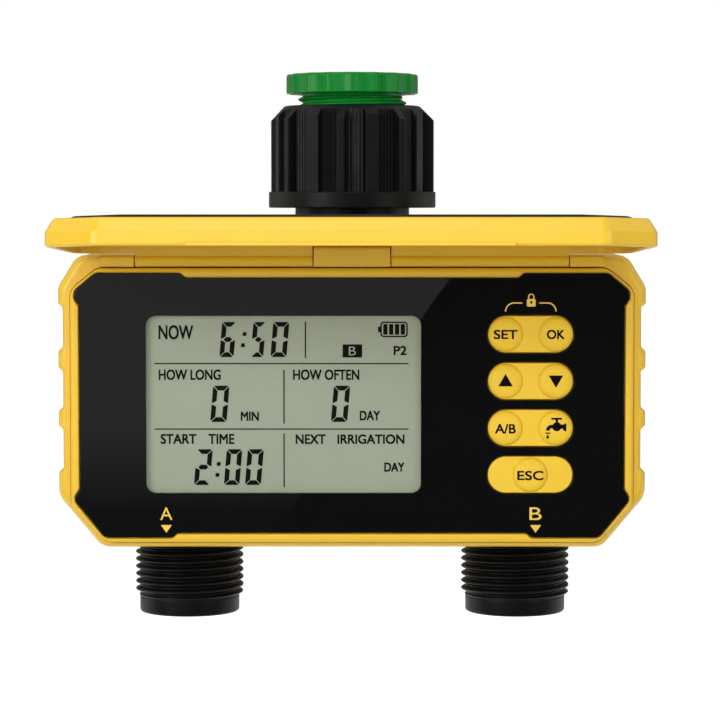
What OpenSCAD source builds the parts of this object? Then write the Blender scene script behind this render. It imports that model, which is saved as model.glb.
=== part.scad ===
// Two-outlet tap timer for drip irrigation, with a flip-up lid over its display.
// Millimetres. Origin: centre of the tap adapter's mouth. +Z up, the display faces -Y.

/* [Body] */
// Width of the body, without its grip pads
body_w = 137.4; // [128:0.1:175]
// Height of the body
body_h = 69.6; // [66:0.1:90]
// From the inlet axis to the front of the bezel
front_depth = 25; // [24:0.5:34]
// From the inlet axis to the rear face
rear_depth = 31; // [30:0.5:42]
// Thickness of the rear wall
rear_wall = 3.2; // [2.8:0.1:4]
// How far the grip pads stand out of each side
grip_proud = 1.1; // [0.4:0.1:2]
// Visible width of the shell beside the bezel
shell_edge = 2.1; // [1.6:0.1:3.5]
// Visible height of the shell above the bezel
shell_top_edge = 3; // [2.8:0.1:5]
// Visible height of the shell below the bezel
shell_bottom_edge = 1.5; // [1.2:0.1:4]
// How far the bezel stands in front of the shell
bezel_proud = 2; // [1:0.1:3]

/* [Front panel] */
// Visible width of the bezel beside the panel
bezel_edge = 2.2; // [1.5:0.1:5]
// Visible height of the bezel above and below the panel
bezel_rim = 2.3; // [2:0.1:5]
// Thickness of the front panel
panel_t = 1.2; // [1:0.1:1.8]
// How far the panel sits behind the bezel
panel_recess = 0.4; // [0.2:0.1:1]
// How far the panel's corner lobes stand out of its edges
lobe = 1.1; // [0.3:0.1:1.4]
// Width of the display window
window_w = 65; // [50:0.5:66]
// Height of the display window
window_h = 42; // [30:0.5:44]
// Centre of the display window, left of the inlet axis
window_x = 16.2; // [14:0.1:18]

/* [Keypad] */
// Width of a key pad
pad_w = 20.1; // [18:0.1:21.5]
// Height of a key pad
pad_h = 8.7; // [8.4:0.1:10]
// Distance between the rows of keys
pad_pitch = 11.1; // [10.5:0.1:12]
// Centre of the keypad, right of the inlet axis
keypad_x = 42.2; // [40:0.1:44]
// Radius of a button
button_r = 4.1; // [3:0.1:4.1]
// Distance between two buttons on a pad
button_pitch = 11.9; // [9.5:0.1:12]
// Travel of a button
button_travel = 0.8; // [0.4:0.1:1]

/* [Lid] */
// How far each side of the lid sits inside the bezel's side
lid_inset = 0.6; // [0:0.1:4]
// Thickness of the lid
lid_t = 6.2; // [5:0.1:8]
// Thickness of the lid's skin
lid_skin = 2; // [1.4:0.1:2.5]
// Thickness of the lid's rim
lid_rim = 2.2; // [1.5:0.1:3]
// Tilt of the open lid above level
lid_tilt = 2.5; // [0:0.5:6]
// Width of the hinge knuckle in the middle of the body
knuckle_w = 18; // [12:1:30]
// Radius of the hinge pin
pin_r = 0.7; // [0.5:0.1:0.8]
// Half of the span between the outer hinge lugs
hinge_span = 51.4; // [45:0.1:54]

/* [Inlet] */
// Outer radius of the tap adapter's grip flange
adapter_r = 16.05; // [15.5:0.05:18]
// Height of the tap adapter's grip flange
adapter_flange_h = 4.8; // [4:0.1:8]
// Wall radius of the tap adapter's female thread
tap_thread_r = 9.315; // [9:0.005:9.6]
// Depth of the tap adapter's female thread
tap_thread_l = 12; // [9:0.5:14]
// Outer radius of the swivel nut
nut_r = 20.35; // [19.5:0.05:24]
// Height of the swivel nut
nut_h = 24.7; // [22:0.1:30]
// Gap between the adapter's flange and the nut
nut_gap = 2.9; // [1:0.1:6]
// Turns of thread on the tap adapter
adapter_turns = 7; // [5:1:8]
// Radius of the inlet spigot
spigot_r = 13.9; // [13.7:0.05:15.5]
// Gap between the nut and the body
spigot_show = 11.1; // [9:0.1:14]

/* [Outlets] */
// Distance between the two outlets
outlet_pitch = 80; // [66:0.5:84]
// Radius over the outlet thread's crests
thread_r = 13.22; // [11:0.01:13.4]
// Pitch of the outlet and inlet threads
thread_pitch = 1.814; // [1.2:0.001:2.3]
// Depth of the outlet and inlet threads
thread_depth = 1.16; // [0.6:0.01:1.3]
// Turns of thread on an outlet
thread_turns = 8; // [5:1:10]
// Radius of the plain end of an outlet
tip_r = 12.2; // [10.4:0.05:12.3]
// Length of the plain end of an outlet
tip_l = 3.7; // [2:0.1:6]
// Radius of an outlet's water way
outlet_bore = 8.5; // [6:0.1:9]

/* [Water ways] */
// Radius of the inlet's water way
riser_bore = 6.5; // [5:0.1:7]
// Radius of the pipe that feeds both valves
cross_bore = 4; // [3:0.1:4.5]
// Radius of a valve seat's opening
seat_bore = 4.6; // [3.5:0.1:5]
// Radius of a valve chamber
chamber_r = 9.2; // [8.6:0.1:9.4]
// Stroke of a pilot plunger
plunger_stroke = 1.5; // [0.8:0.1:2]

/* [Batteries] */
// Radius of a cell
cell_r = 7.25; // [6.5:0.05:7.3]
// Length of a cell
cell_l = 50.5; // [44:0.5:51]

/* [Fits] */
// Clearance of a turning or sliding fit
running = 0.08; // [0.02:0.01:0.1]
// Clearance between pieces that move past each other
clear = 0.3; // [0.2:0.05:0.5]
// Clearance around a piece that is dropped into place
drop_in = 0.2; // [0.1:0.05:0.3]

/* [Hidden] */
$fn = 96;
eps = 0.01;

// Levels along Z
nut_top = -(adapter_flange_h + nut_gap);
nut_bottom = nut_top - nut_h;
body_top = nut_bottom - spigot_show;
body_bottom = body_top - body_h;
thread_l = thread_turns * thread_pitch;
outlet_end = body_bottom - thread_l - tip_l;
bezel_top = body_top - shell_top_edge;
bezel_bottom = body_bottom + shell_bottom_edge;
panel_top = bezel_top - bezel_rim;
panel_bottom = bezel_bottom + bezel_rim;
panel_mid = (panel_top + panel_bottom) / 2;

// Planes along Y
bezel_front = -front_depth;
shell_front = bezel_front + bezel_proud;
panel_front = bezel_front + panel_recess;
panel_back = panel_front + panel_t;
plate_floor = 1.8;
plate_back = panel_back + plate_floor;
board_t = 1.6;
board_back = shell_front + 7;
board_front = board_back - board_t;
rear_face = rear_depth;
rear_inside = rear_depth - rear_wall;

// Half widths along X
half_w = body_w / 2;
bezel_half = half_w - shell_edge;
panel_half = bezel_half - bezel_edge;
cavity_gap = drop_in;
skirt_out = 1.2;
skirt_in = 2.8;

// Corner cuts of the octagon outlines: [top x, top z, bottom x, bottom z]
shell_cut = [4.6, 7.6, 10.2, 12.2];
bezel_cut = [6.5, 5.2, 8.3, 8.8];
panel_cut = [5, 4.2, 7, 8.6];
lid_cut = [5, 4.5, 11.5, 10];
corner_r = 4;

// Grip pads on each side, as shares of the way from the top to the bottom: [from, to]
grip_bands = [[0.327, 0.386], [0.532, 0.584]];
grip_corner_top = 0.167;
grip_corner_bottom = 0.742;
grip_ramp = 0.8;

// Hinge
knuckle_half = knuckle_w / 2;
barrel_r = pin_r + running + 0.57;
hinge_y = bezel_front + 1;
hinge_z = bezel_top + clear + barrel_r;
lid_back = 1.5;
lid_under = body_top - hinge_z + clear + lid_back * sin(lid_tilt);
lid_top = lid_under + lid_t;
lid_reach = hinge_z - body_bottom - 0.2;
lid_half = bezel_half - lid_inset;
lid_insert_proud = 0.7;
lid_insert_seat = 0.8;
lid_insert_margin = 4.9;
lid_chamfer_h = 3;
lid_chamfer_w = 0.6;
finger_lip_t = 0.9;
finger_lip_proud = 0.6;
finger_lip_half = 35;
hinge_recess_back = hinge_y + barrel_r + 0.55;
pin_end = hinge_span + 6;

// Keypad rows and buttons
keys_up = 0.25;
row_z = [for (i = [0:3]) panel_mid + (1.5 - i) * pad_pitch + keys_up];
button_dome = 1.0;
pad_front = panel_front + 0.1;
mat_back = plate_back + 1.2;
mat_margin = 0.6;
button_stem_r = 2.5;
button_stem_end = board_front - 0.1 - clear - button_travel;
KEYS = [[-1, 0], [1, 0], [-1, 1], [1, 1], [-1, 2], [1, 2], [0, 3]];

// Inlet
nut_core_r = nut_r - 2.75;
nut_ring_h = 3.9;
nut_chamfer = 3.2;
nut_ribs = 8;
nut_rib_w = 1.7;
nut_rib_out = nut_r - 0.4;
nut_pad_w = 3.2;
nut_pad_out = nut_core_r + 1.25;
nut_turn = -97.6;
male_l = adapter_turns * thread_pitch;
adapter_bottom = -(adapter_flange_h + male_l);
adapter_bore = riser_bore - 0.5;
nut_washer_t = 2;
washer_seat_r = tap_thread_r + 0.4;
spigot_top = adapter_bottom - clear - nut_washer_t;
spigot_land_r = thread_r - clear;
spigot_shoulder = spigot_top - 1.1;
nut_step = spigot_shoulder + clear;
nut_bore = spigot_r + running;
retainer_mid = nut_bottom + 3.7;
retainer_t = 1.6;
retainer_in = spigot_r - 1;
retainer_out = spigot_r + 1.1;
spigot_flange_r = spigot_r + 3.1;
spigot_flange_h = 2.5;
spigot_stem_r = 9.4;
spigot_stem_l = 15;
spigot_seal_z = body_top - spigot_stem_l + 4;

// Manifold
outlet_x = outlet_pitch / 2;
riser_r = 9;
socket_r = 12;
seat_z = body_bottom + 29.1;
chamber_depth = 10;
chamber_out_r = 11.4;
chamber_bottom = seat_z - chamber_depth - 8;
cross_r = cross_bore + 1.5;
cross_z = seat_z - cross_r - 0.3;
seat_r = seat_bore + 1.4;
flange_half_x = 13;
flange_half_y = 11.4;
flange_t = 3;
screw_x = 10.8;
screw_y = 9.2;
bonnet_screw_r = 1.1;
diaphragm_t = 2;
diaphragm_r = 11;
bonnet_bottom = seat_z + diaphragm_t;
guide_r = 4.6;
plunger_r = 3.4;
plunger_l = 14.7;
plunger_bottom = bonnet_bottom + 1;
guide_cap = 1.2;
coil_bottom = bonnet_bottom + 5.6;
coil_l = 16;
coil_r = 8.6;
yoke_t = 1.2;
yoke_half = 9.9;
spring_bottom = plunger_bottom + plunger_l;
spring_solid = 6.1;
spring_top = spring_bottom + plunger_stroke + spring_solid;
guide_top = spring_top + guide_cap;

// Outlets
collar_r = thread_r + 2;
collar_h = 2.4;
outlet_stem_r = 7.4;
shell_floor = bezel_bottom - cavity_gap;
outlet_seal_z = chamber_bottom + 3;
outlet_seal_t = 1.6;
socket_depth = 5.6;

// Battery box
tray_wall = 1.2;
tray_front = rear_inside - 2 * cell_r - tray_wall - 0.3;
tray_z = (body_top + body_bottom) / 2 - 2;
cell_dx = 1.9;
cell_dz = cell_r + 0.35;
tray_half_x = cell_dx + cell_l + 2.8 + tray_wall;
tray_half_z = 2 * cell_r + 1 + tray_wall;
cell_y = rear_inside - cell_r - 0.1;
cover_half_x = tray_half_x + 0.6;
cover_half_z = tray_half_z + 5.3;
cover_t = 1.4;
cover_screw_x = 40;
cover_screw_z = tray_half_z + 2.5;
cover_screw_r = 1.1;
cover_boss_r = 2.4;
opening_half_x = tray_half_x - 2;
opening_half_z = tray_half_z - 1.5;
cover_floor = rear_face - cover_t - clear;

// Case screws
case_x = bezel_half - 5.4;
case_z = [bezel_top - 8.5, bezel_bottom + 11.8];
case_boss_r = 4.3;
case_post_r = 3.2;
case_screw_r = 1.25;
case_split = board_back + 2.2;

// Board
board_half_x = case_x - case_post_r - 1.8;
board_top = bezel_top - 5.5;
board_bottom = bezel_bottom + 5.5;
board_post_x = board_half_x - 1.9;
board_post_z = [board_top - 2, board_bottom + 2];
board_post_r = 1.8;
board_screw_r = 0.8;

// Display
window_z = panel_mid + keys_up;
lcd_margin = 1.4;
lcd_t = 2.6;
lcd_front = panel_back + 0.1;
lcd_back = lcd_front + lcd_t;

// ---- shared shapes ----

// Extrudes an outline, drawn as X and Z, from plane y0 back to plane y1
module slab(y0, y1) {
    translate([0, y1, 0]) rotate([90, 0, 0]) linear_extrude(y1 - y0) children();
}

// Corner points of an octagon with its own cuts at the top and the bottom
function octagon(half, top, bottom, cut) = [
    [-half + cut[0], top], [half - cut[0], top], [half, top - cut[1]],
    [half, bottom + cut[3]], [half - cut[2], bottom], [-half + cut[2], bottom],
    [-half, bottom + cut[3]], [-half, top - cut[1]]
];

module rounded(r) {
    offset(r = r, $fn = 32) offset(delta = -r) children();
}

module bezel_outline() {
    rounded(corner_r) polygon(octagon(bezel_half, bezel_top, bezel_bottom, bezel_cut));
}

// The shell's side with its grip pads, from top to bottom
function share_z(s) = body_top - s * body_h;
function grip_side() = concat(
    [[half_w + grip_proud, share_z(grip_corner_top)],
     [half_w, share_z(grip_corner_top) - grip_ramp]],
    [for (b = grip_bands) each [
        [half_w, share_z(b[0]) + grip_ramp], [half_w + grip_proud, share_z(b[0])],
        [half_w + grip_proud, share_z(b[1])], [half_w, share_z(b[1]) - grip_ramp]]],
    [[half_w, share_z(grip_corner_bottom) + grip_ramp],
     [half_w + grip_proud, share_z(grip_corner_bottom)]]
);

module shell_outline() {
    difference() {
        rounded(corner_r)
            polygon(octagon(half_w + grip_proud, body_top, body_bottom, shell_cut));
        for (side = [-1, 1]) scale([side, 1]) for (gap = [0:2]) grip_gap(gap);
    }
}

// One of the three shallow hollows between the grip pads
module grip_gap(i) {
    points = grip_side();
    outside = half_w + grip_proud + 1;
    polygon(concat([for (k = [0:3]) points[4 * i + k]],
                   [[outside, points[4 * i + 3][1]], [outside, points[4 * i][1]]]));
}

module ring(r_out, r_in, h) {
    difference() {
        cylinder(r = r_out, h = h);
        translate([0, 0, -eps]) cylinder(r = r_in, h = h + 2 * eps);
    }
}

// A male thread as rings of crests and roots, from z = 0 down
module threaded_rod(r, turns) {
    root = r - thread_depth;
    rotate_extrude() polygon(concat(
        [[0, 0], [root, 0]],
        [for (i = [0:turns - 1]) each [
            [root, -(i + 0.1) * thread_pitch], [r, -(i + 0.5) * thread_pitch],
            [r, -(i + 0.6) * thread_pitch], [root, -(i + 1) * thread_pitch]]],
        [[0, -turns * thread_pitch]]
    ));
}

module at_outlet(side) {
    translate([side * outlet_x, 0, 0]) children();
}

module case_points() {
    for (side = [-1, 1]) for (z = case_z)
        translate([side * case_x, 0, z]) rotate([-90, 0, 0]) children();
}

module cover_points() {
    for (side = [-1, 1]) for (up = [-1, 1])
        translate([side * cover_screw_x, 0, tray_z + up * cover_screw_z])
            rotate([-90, 0, 0]) children();
}

module board_points() {
    for (side = [-1, 1]) for (z = board_post_z)
        translate([side * board_post_x, 0, z]) rotate([-90, 0, 0]) children();
}

// ---- housing ----

module rear_shell() {
    color("gold") difference() {
        union() {
            difference() {
                slab(shell_front, rear_face) shell_outline();
                slab(shell_front - eps, rear_inside)
                    offset(delta = cavity_gap) bezel_outline();
            }
            case_points() translate([0, 0, case_split])
                cylinder(r = case_boss_r, h = rear_inside - case_split + eps);
            cover_points() translate([0, 0, rear_inside - 6])
                cylinder(r = cover_boss_r, h = 6 + eps);
            hinge_lugs();
        }
        for (side = [-1, 1]) hinge_recess(side);
        translate([0, hinge_y, hinge_z]) rotate([0, 90, 0])
            cylinder(r = pin_r, h = 2 * pin_end, center = true, $fn = 48);
        translate([0, 0, bezel_top])
            cylinder(r = spigot_stem_r + drop_in, h = shell_top_edge + 1);
        for (side = [-1, 1]) at_outlet(side) translate([0, 0, body_bottom - 1])
            cylinder(r = thread_r + drop_in, h = 6);
        case_points() {
            translate([0, 0, case_split - eps])
                cylinder(r = case_screw_r + 0.4, h = rear_face);
            cylinder(r = case_boss_r - 1.1, h = rear_face + 1);
        }
        slab(cover_floor, rear_face + 1) cover_outline(clear);
        slab(rear_inside - 1, rear_face) opening_outline(0);
        cover_points() translate([0, 0, rear_inside - 5])
            cylinder(r = cover_screw_r + 0.1, h = 10, $fn = 48);
    }
}

// Blocks on the shell's top edge that carry the hinge pins
module hinge_lugs() {
    lug_w = pin_end - hinge_span + 2;
    lug_bottom = bezel_top + clear;
    slab(hinge_y - barrel_r, shell_front + 2)
        translate([-knuckle_half, lug_bottom]) square([knuckle_w, body_top + 2 - lug_bottom]);
    for (side = [-1, 1]) scale_x(side) {
        translate([hinge_span, hinge_y, hinge_z]) rotate([0, 90, 0])
            cylinder(r = barrel_r, h = lug_w);
        translate([hinge_span, hinge_y, lug_bottom])
            cube([lug_w, shell_front + 1 - hinge_y, body_top - lug_bottom - eps]);
    }
}

// The hollow in the shell's top edge in which the lid's barrel turns
module hinge_recess(side) {
    x0 = side > 0 ? knuckle_half : -hinge_span;
    translate([x0, hinge_y - 4, bezel_top])
        cube([hinge_span - knuckle_half, hinge_recess_back - hinge_y + 4, shell_top_edge + 1]);
}

module front_cover() {
    color("goldenrod") difference() {
        union() {
            slab(bezel_front, plate_back) bezel_outline();
            slab(plate_back - eps, board_back) difference() {
                offset(delta = -skirt_out) bezel_outline();
                offset(delta = -skirt_in) bezel_outline();
            }
            case_points() translate([0, 0, plate_back - eps])
                cylinder(r = case_post_r, h = case_split - plate_back);
            board_points() translate([0, 0, plate_back - eps])
                cylinder(r = board_post_r, h = board_front - plate_back + eps);
        }
        slab(bezel_front - 1, panel_back) panel_outline(drop_in);
        slab(panel_back - 1, plate_back + 1) lcd_outline(lcd_margin + drop_in);
        for (row = [0:3]) slab(panel_back - 1, plate_back + 1)
            pad_outline(row, drop_in);
        case_points() translate([0, 0, plate_back + 1.5])
            cylinder(r = case_screw_r, h = 20, $fn = 48);
        board_points() translate([0, 0, plate_back + 0.6])
            cylinder(r = board_screw_r, h = 6, $fn = 48);
    }
}

module housing_seal() {
    color("dimgray") slab(plate_back + 0.8, plate_back + 2.6) difference() {
        offset(delta = cavity_gap) bezel_outline();
        offset(delta = -skirt_out) bezel_outline();
    }
}

module case_screws() {
    color("silver") case_points() {
        translate([0, 0, plate_back + 2]) cylinder(r = case_screw_r, h = -plate_back - 2 + eps);
        difference() {
            cylinder(r = case_boss_r - 1.5, h = 2);
            translate([0, 0, 1]) cylinder(r = 1.4, h = 2, $fn = 6);
        }
    }
}

// ---- front panel, display and keypad ----

// Octagon panel with lobes that stand out at its four corners
module panel_outline(grow) {
    offset(delta = grow) rounded(1) intersection() {
        union() {
            polygon(octagon(panel_half, panel_top, panel_bottom, panel_cut));
            for (side = [-1, 1]) scale([side, 1]) {
                panel_lobe(panel_top, 1, 0.63, 12);
                panel_lobe(panel_bottom, -1, 0.66, 15);
            }
        }
        rounded(2) polygon(octagon(panel_half + lobe, panel_top + lobe,
                                   panel_bottom - lobe, panel_cut));
    }
}

// Corner lobe; up is 1 at the top edge and -1 at the bottom edge
module panel_lobe(edge, up, start, drop) {
    x0 = start * panel_half;
    polygon([
        [x0 - lobe, edge], [x0, edge + up * lobe], [panel_half + lobe, edge + up * lobe],
        [panel_half + lobe, edge - up * (drop - 7)], [panel_half, edge - up * (drop - 5)],
        [panel_half - 9, edge - up * 1]
    ]);
}

module lcd_outline(grow) {
    translate([-window_x, window_z]) square([window_w + 2 * grow, window_h + 2 * grow], center = true);
}

module window_outline(grow) {
    offset(delta = grow) rounded(2.3)
        translate([-window_x, window_z]) square([window_w, window_h], center = true);
}

module pad_outline(row, grow) {
    straight = (pad_w - pad_h) / 2;
    translate([keypad_x, row_z[row]]) {
        square([2 * straight, pad_h + 2 * grow], center = true);
        for (side = [-1, 1]) translate([side * straight, 0]) circle(r = pad_h / 2 + grow);
    }
}

module front_panel() {
    color("#181818") difference() {
        slab(panel_front, panel_back) panel_outline(0);
        slab(panel_front - 1, panel_back + 1) window_outline(0);
        for (row = [0:3]) slab(panel_front - 1, panel_back + 1) pad_outline(row, drop_in);
    }
}

module display_window() {
    color("lightgray", 0.4) slab(panel_front, panel_back) window_outline(0);
}

module lcd_glass() {
    color("#a3ab96") slab(lcd_front, lcd_back) lcd_outline(lcd_margin);
}

module lcd_holder() {
    color("white") difference() {
        slab(lcd_back, board_front) lcd_outline(lcd_margin);
        slab(lcd_back - 1, board_front + 1) strip_outlines(drop_in);
        slab(lcd_back + 1.2, board_front + 1) lcd_outline(-8);
    }
}

// The two slots above and below the display that hold its contact strips
module strip_outlines(grow) {
    for (up = [-1, 1]) translate([-window_x, window_z + up * (window_h / 2 - 4)])
        square([window_w - 13 + 2 * grow, 3 + 2 * grow], center = true);
}

module zebra_strips() {
    color("pink") slab(lcd_back, board_front) strip_outlines(0);
}

module keypad_mat() {
    base_h = 3 * pad_pitch + pad_h + 2 * mat_margin;
    color("gold") difference() {
        union() {
            slab(plate_back, mat_back)
                translate([keypad_x, (row_z[0] + row_z[3]) / 2])
                    square([pad_w + 2 * mat_margin, base_h], center = true);
            for (row = [0:3]) slab(pad_front, plate_back + eps) pad_outline(row, 0);
        }
        for (key = KEYS) at_key(key) translate([0, 0, pad_front - 1])
            cylinder(r = button_r + running, h = 10);
    }
}

module at_key(key) {
    translate([keypad_x + key[0] * button_pitch / 2, 0, row_z[key[1]]])
        rotate([-90, 0, 0]) children();
}

// A domed key cap with the stem that closes its contact on the board
module button(key) {
    dome_r = (button_r * button_r + button_dome * button_dome) / (2 * button_dome);
    color("orange") at_key(key) {
        translate([0, 0, pad_front]) cylinder(r = button_r, h = mat_back - pad_front);
        intersection() {
            translate([0, 0, pad_front - button_dome + dome_r]) sphere(r = dome_r);
            translate([0, 0, pad_front - 2]) cylinder(r = button_r, h = 2 + eps);
        }
        translate([0, 0, mat_back - eps])
            cylinder(r = button_stem_r, h = button_stem_end - mat_back);
    }
}

// ---- electronics ----

module main_board() {
    color("darkgreen") difference() {
        slab(board_front, board_back)
            translate([-board_half_x, board_bottom])
                square([2 * board_half_x, board_top - board_bottom]);
        board_points() translate([0, 0, board_front - 1])
            cylinder(r = board_screw_r + 0.2, h = 4, $fn = 48);
    }
}

module contact_pads() {
    color("khaki") for (key = KEYS) at_key(key)
        translate([0, 0, board_front - 0.1]) cylinder(r = 2.6, h = 0.1, $fn = 48);
}

module board_components() {
    color("#303030") {
        slab(board_back, board_back + 1.6)
            translate([14, window_z + 8]) square([12, 12]);
        slab(board_back, board_back + 1.5)
            translate([-28, window_z + 6]) square([10, 6]);
        for (side = [-1, 1]) translate([side * 20, board_back, board_bottom + 9])
            rotate([-90, 0, 0]) cylinder(r = 4, h = 3.6);
        slab(board_back, board_back + 3.2)
            translate([board_half_x - 22, board_top - 7]) square([10, 4]);
    }
}

module board_screws() {
    color("silver") board_points() {
        translate([0, 0, plate_back + 1])
            cylinder(r = board_screw_r, h = board_back - plate_back, $fn = 48);
        translate([0, 0, board_back]) cylinder(r = 2 * board_screw_r, h = 1.2, $fn = 48);
    }
}

// ---- lid ----

// Places a lid drawn level, its hinge axis on the X axis, at its open rest
module open_lid() {
    translate([0, hinge_y, hinge_z]) rotate([-lid_tilt, 0, 0]) children();
}

// Outline seen from above, drawn level: free edge at -Y
module lid_outline(grow) {
    offset(delta = grow) rounded(3) polygon(octagon(lid_half, lid_back, -lid_reach, lid_cut));
}

module lid_frame() {
    color("gold") open_lid() difference() {
        union() {
            translate([0, 0, lid_under]) linear_extrude(lid_t - lid_chamfer_h) lid_outline(0);
            for (step = [0:2]) translate([0, 0, lid_top - lid_chamfer_h * (1 - step / 3)])
                linear_extrude(lid_chamfer_h / 3) lid_outline(-lid_chamfer_w * (step + 0.5));
            translate([-finger_lip_half, -lid_reach - finger_lip_proud, lid_under])
                cube([2 * finger_lip_half, 2, finger_lip_t]);
            for (side = [-1, 1]) lid_barrel(side);
        }
        translate([0, 0, lid_under - 1])
            linear_extrude(1 + lid_t - lid_skin) lid_outline(-lid_rim);
        translate([-knuckle_half - clear, -5, lid_under - 1])
            cube([knuckle_w + 2 * clear, 8, 1 + lid_t - lid_skin]);
        translate([0, 0, lid_top - lid_insert_seat]) linear_extrude(2) insert_outline(drop_in);
        rotate([0, 90, 0])
            cylinder(r = pin_r + running, h = 3 * hinge_span, center = true, $fn = 48);
    }
}

// The barrel that turns on one hinge pin, with the web that joins it to the rim
module lid_barrel(side) {
    x0 = side > 0 ? knuckle_half + clear : -hinge_span + clear;
    length = hinge_span - knuckle_half - 2 * clear;
    translate([x0, 0, 0]) rotate([0, 90, 0]) cylinder(r = barrel_r, h = length, $fn = 48);
    translate([x0, -0.7, 0]) cube([length, barrel_r + 0.7, lid_under + 0.5]);
}

module insert_outline(grow) {
    m = lid_insert_margin;
    offset(delta = grow) rounded(corner_r)
        polygon(octagon(lid_half - m, lid_back - m, -lid_reach + m, lid_cut));
}

module lid_insert() {
    color("#202020") open_lid() translate([0, 0, lid_top - lid_insert_seat]) {
        linear_extrude(lid_insert_seat + lid_insert_proud / 2) insert_outline(0);
        linear_extrude(lid_insert_seat + lid_insert_proud) insert_outline(-1.5);
    }
}

module hinge_pins() {
    pin_l = pin_end - knuckle_half + 4;
    color("silver") for (side = [-1, 1])
        translate([side * (pin_end - pin_l / 2), hinge_y, hinge_z])
            rotate([0, 90, 0]) cylinder(r = pin_r, h = pin_l, center = true, $fn = 48);
}

// ---- inlet ----

module inlet_nut() {
    color("#1c1c1c") difference() {
        union() {
            translate([0, 0, nut_bottom]) cylinder(r = nut_r, h = nut_ring_h);
            translate([0, 0, nut_bottom]) cylinder(r = nut_core_r, h = nut_h - nut_chamfer);
            translate([0, 0, nut_top - nut_chamfer])
                cylinder(r1 = nut_core_r, r2 = nut_core_r - 1.2, h = nut_chamfer);
            for (i = [0:nut_ribs - 1]) rotate([0, 0, nut_turn + i * 360 / nut_ribs]) {
                nut_rib(nut_rib_w, nut_rib_out);
                rotate([0, 0, 180 / nut_ribs]) nut_rib(nut_pad_w, nut_pad_out);
            }
        }
        translate([0, 0, nut_bottom - 1]) cylinder(r = nut_bore, h = nut_step - nut_bottom + 1);
        translate([0, 0, nut_step - eps]) cylinder(r = thread_r + drop_in, h = 20);
        translate([0, 0, retainer_mid - retainer_t / 2 - clear])
            cylinder(r = retainer_out + clear, h = retainer_t + 2 * clear);
    }
}

// One upright grip rib or pad, its top cut at the slope of the crown
module nut_rib(width, out) {
    inner = nut_core_r - 1.4;
    slope = (nut_chamfer - 0.3) / (nut_rib_out - inner);
    translate([0, width / 2, 0]) rotate([90, 0, 0]) linear_extrude(width) polygon([
        [inner, nut_bottom + 1], [out, nut_bottom + 1],
        [out, nut_top - 0.3 - slope * (out - inner)], [inner, nut_top - 0.3]
    ]);
}

module nut_retainer() {
    color("white") translate([0, 0, retainer_mid - retainer_t / 2]) rotate([0, 0, 105])
        rotate_extrude(angle = 330) translate([retainer_in, 0])
            square([retainer_out - retainer_in, retainer_t]);
}

module nut_washer() {
    color("#303030") translate([0, 0, spigot_top])
        ring(spigot_land_r, riser_bore + 3.6, nut_washer_t);
}

module inlet_filter() {
    rim_r = riser_bore + 3.4;
    color("lightgray") translate([0, 0, spigot_top]) rotate_extrude() polygon([
        [rim_r, 0], [rim_r, -1.2], [riser_bore - 0.8, -1.2], [2.5, -9], [0, -9],
        [0, -8.3], [2.1, -8.3], [riser_bore - 1.6, 0]
    ]);
}

module inlet_adapter() {
    scallops = 17;
    scallop_r = 4;
    scallop_out = 3.4;
    color("green") difference() {
        union() {
            difference() {
                translate([0, 0, -adapter_flange_h]) cylinder(r = adapter_r, h = adapter_flange_h);
                for (i = [0:scallops - 1]) rotate([0, 0, (i + 0.5) * 360 / scallops - 90])
                    translate([adapter_r + scallop_out, 0, -adapter_flange_h - 1])
                        cylinder(r = scallop_r, h = adapter_flange_h + 2, $fn = 48);
            }
            translate([0, 0, -adapter_flange_h]) threaded_rod(thread_r, adapter_turns);
        }
        translate([0, 0, -tap_thread_l]) cylinder(r = tap_thread_r, h = tap_thread_l + 1);
        translate([0, 0, -tap_thread_l - nut_washer_t])
            cylinder(r = washer_seat_r, h = nut_washer_t);
        translate([0, 0, adapter_bottom - 1]) cylinder(r = adapter_bore, h = 20);
    }
}

module adapter_washer() {
    color("#303030") translate([0, 0, -tap_thread_l - nut_washer_t])
        ring(washer_seat_r - drop_in / 2, adapter_bore + 0.3, nut_washer_t - drop_in / 2);
}

module inlet_spigot() {
    color("#1c1c1c") difference() {
        union() {
            translate([0, 0, body_top]) cylinder(r = spigot_r, h = spigot_shoulder - body_top);
            translate([0, 0, spigot_shoulder - eps])
                cylinder(r = spigot_land_r, h = spigot_top - spigot_shoulder + eps);
            translate([0, 0, body_top]) cylinder(r = spigot_flange_r, h = spigot_flange_h);
            translate([0, 0, body_top - spigot_stem_l])
                cylinder(r = spigot_stem_r, h = spigot_stem_l + eps);
        }
        translate([0, 0, body_top - spigot_stem_l - 1]) cylinder(r = riser_bore, h = 60);
        translate([0, 0, spigot_top - 1.2]) cylinder(r = riser_bore + 3.4, h = 3);
        translate([0, 0, retainer_mid - retainer_t / 2])
            ring(spigot_r + 1, retainer_in - running, retainer_t);
        translate([0, 0, spigot_seal_z]) ring(spigot_stem_r + 1, spigot_stem_r - 1, 1.6);
    }
}

module spigot_seal() {
    color("#303030") translate([0, 0, spigot_seal_z])
        ring(spigot_stem_r + 0.05, spigot_stem_r - 1, 1.6);
}

// ---- valves ----

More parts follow.
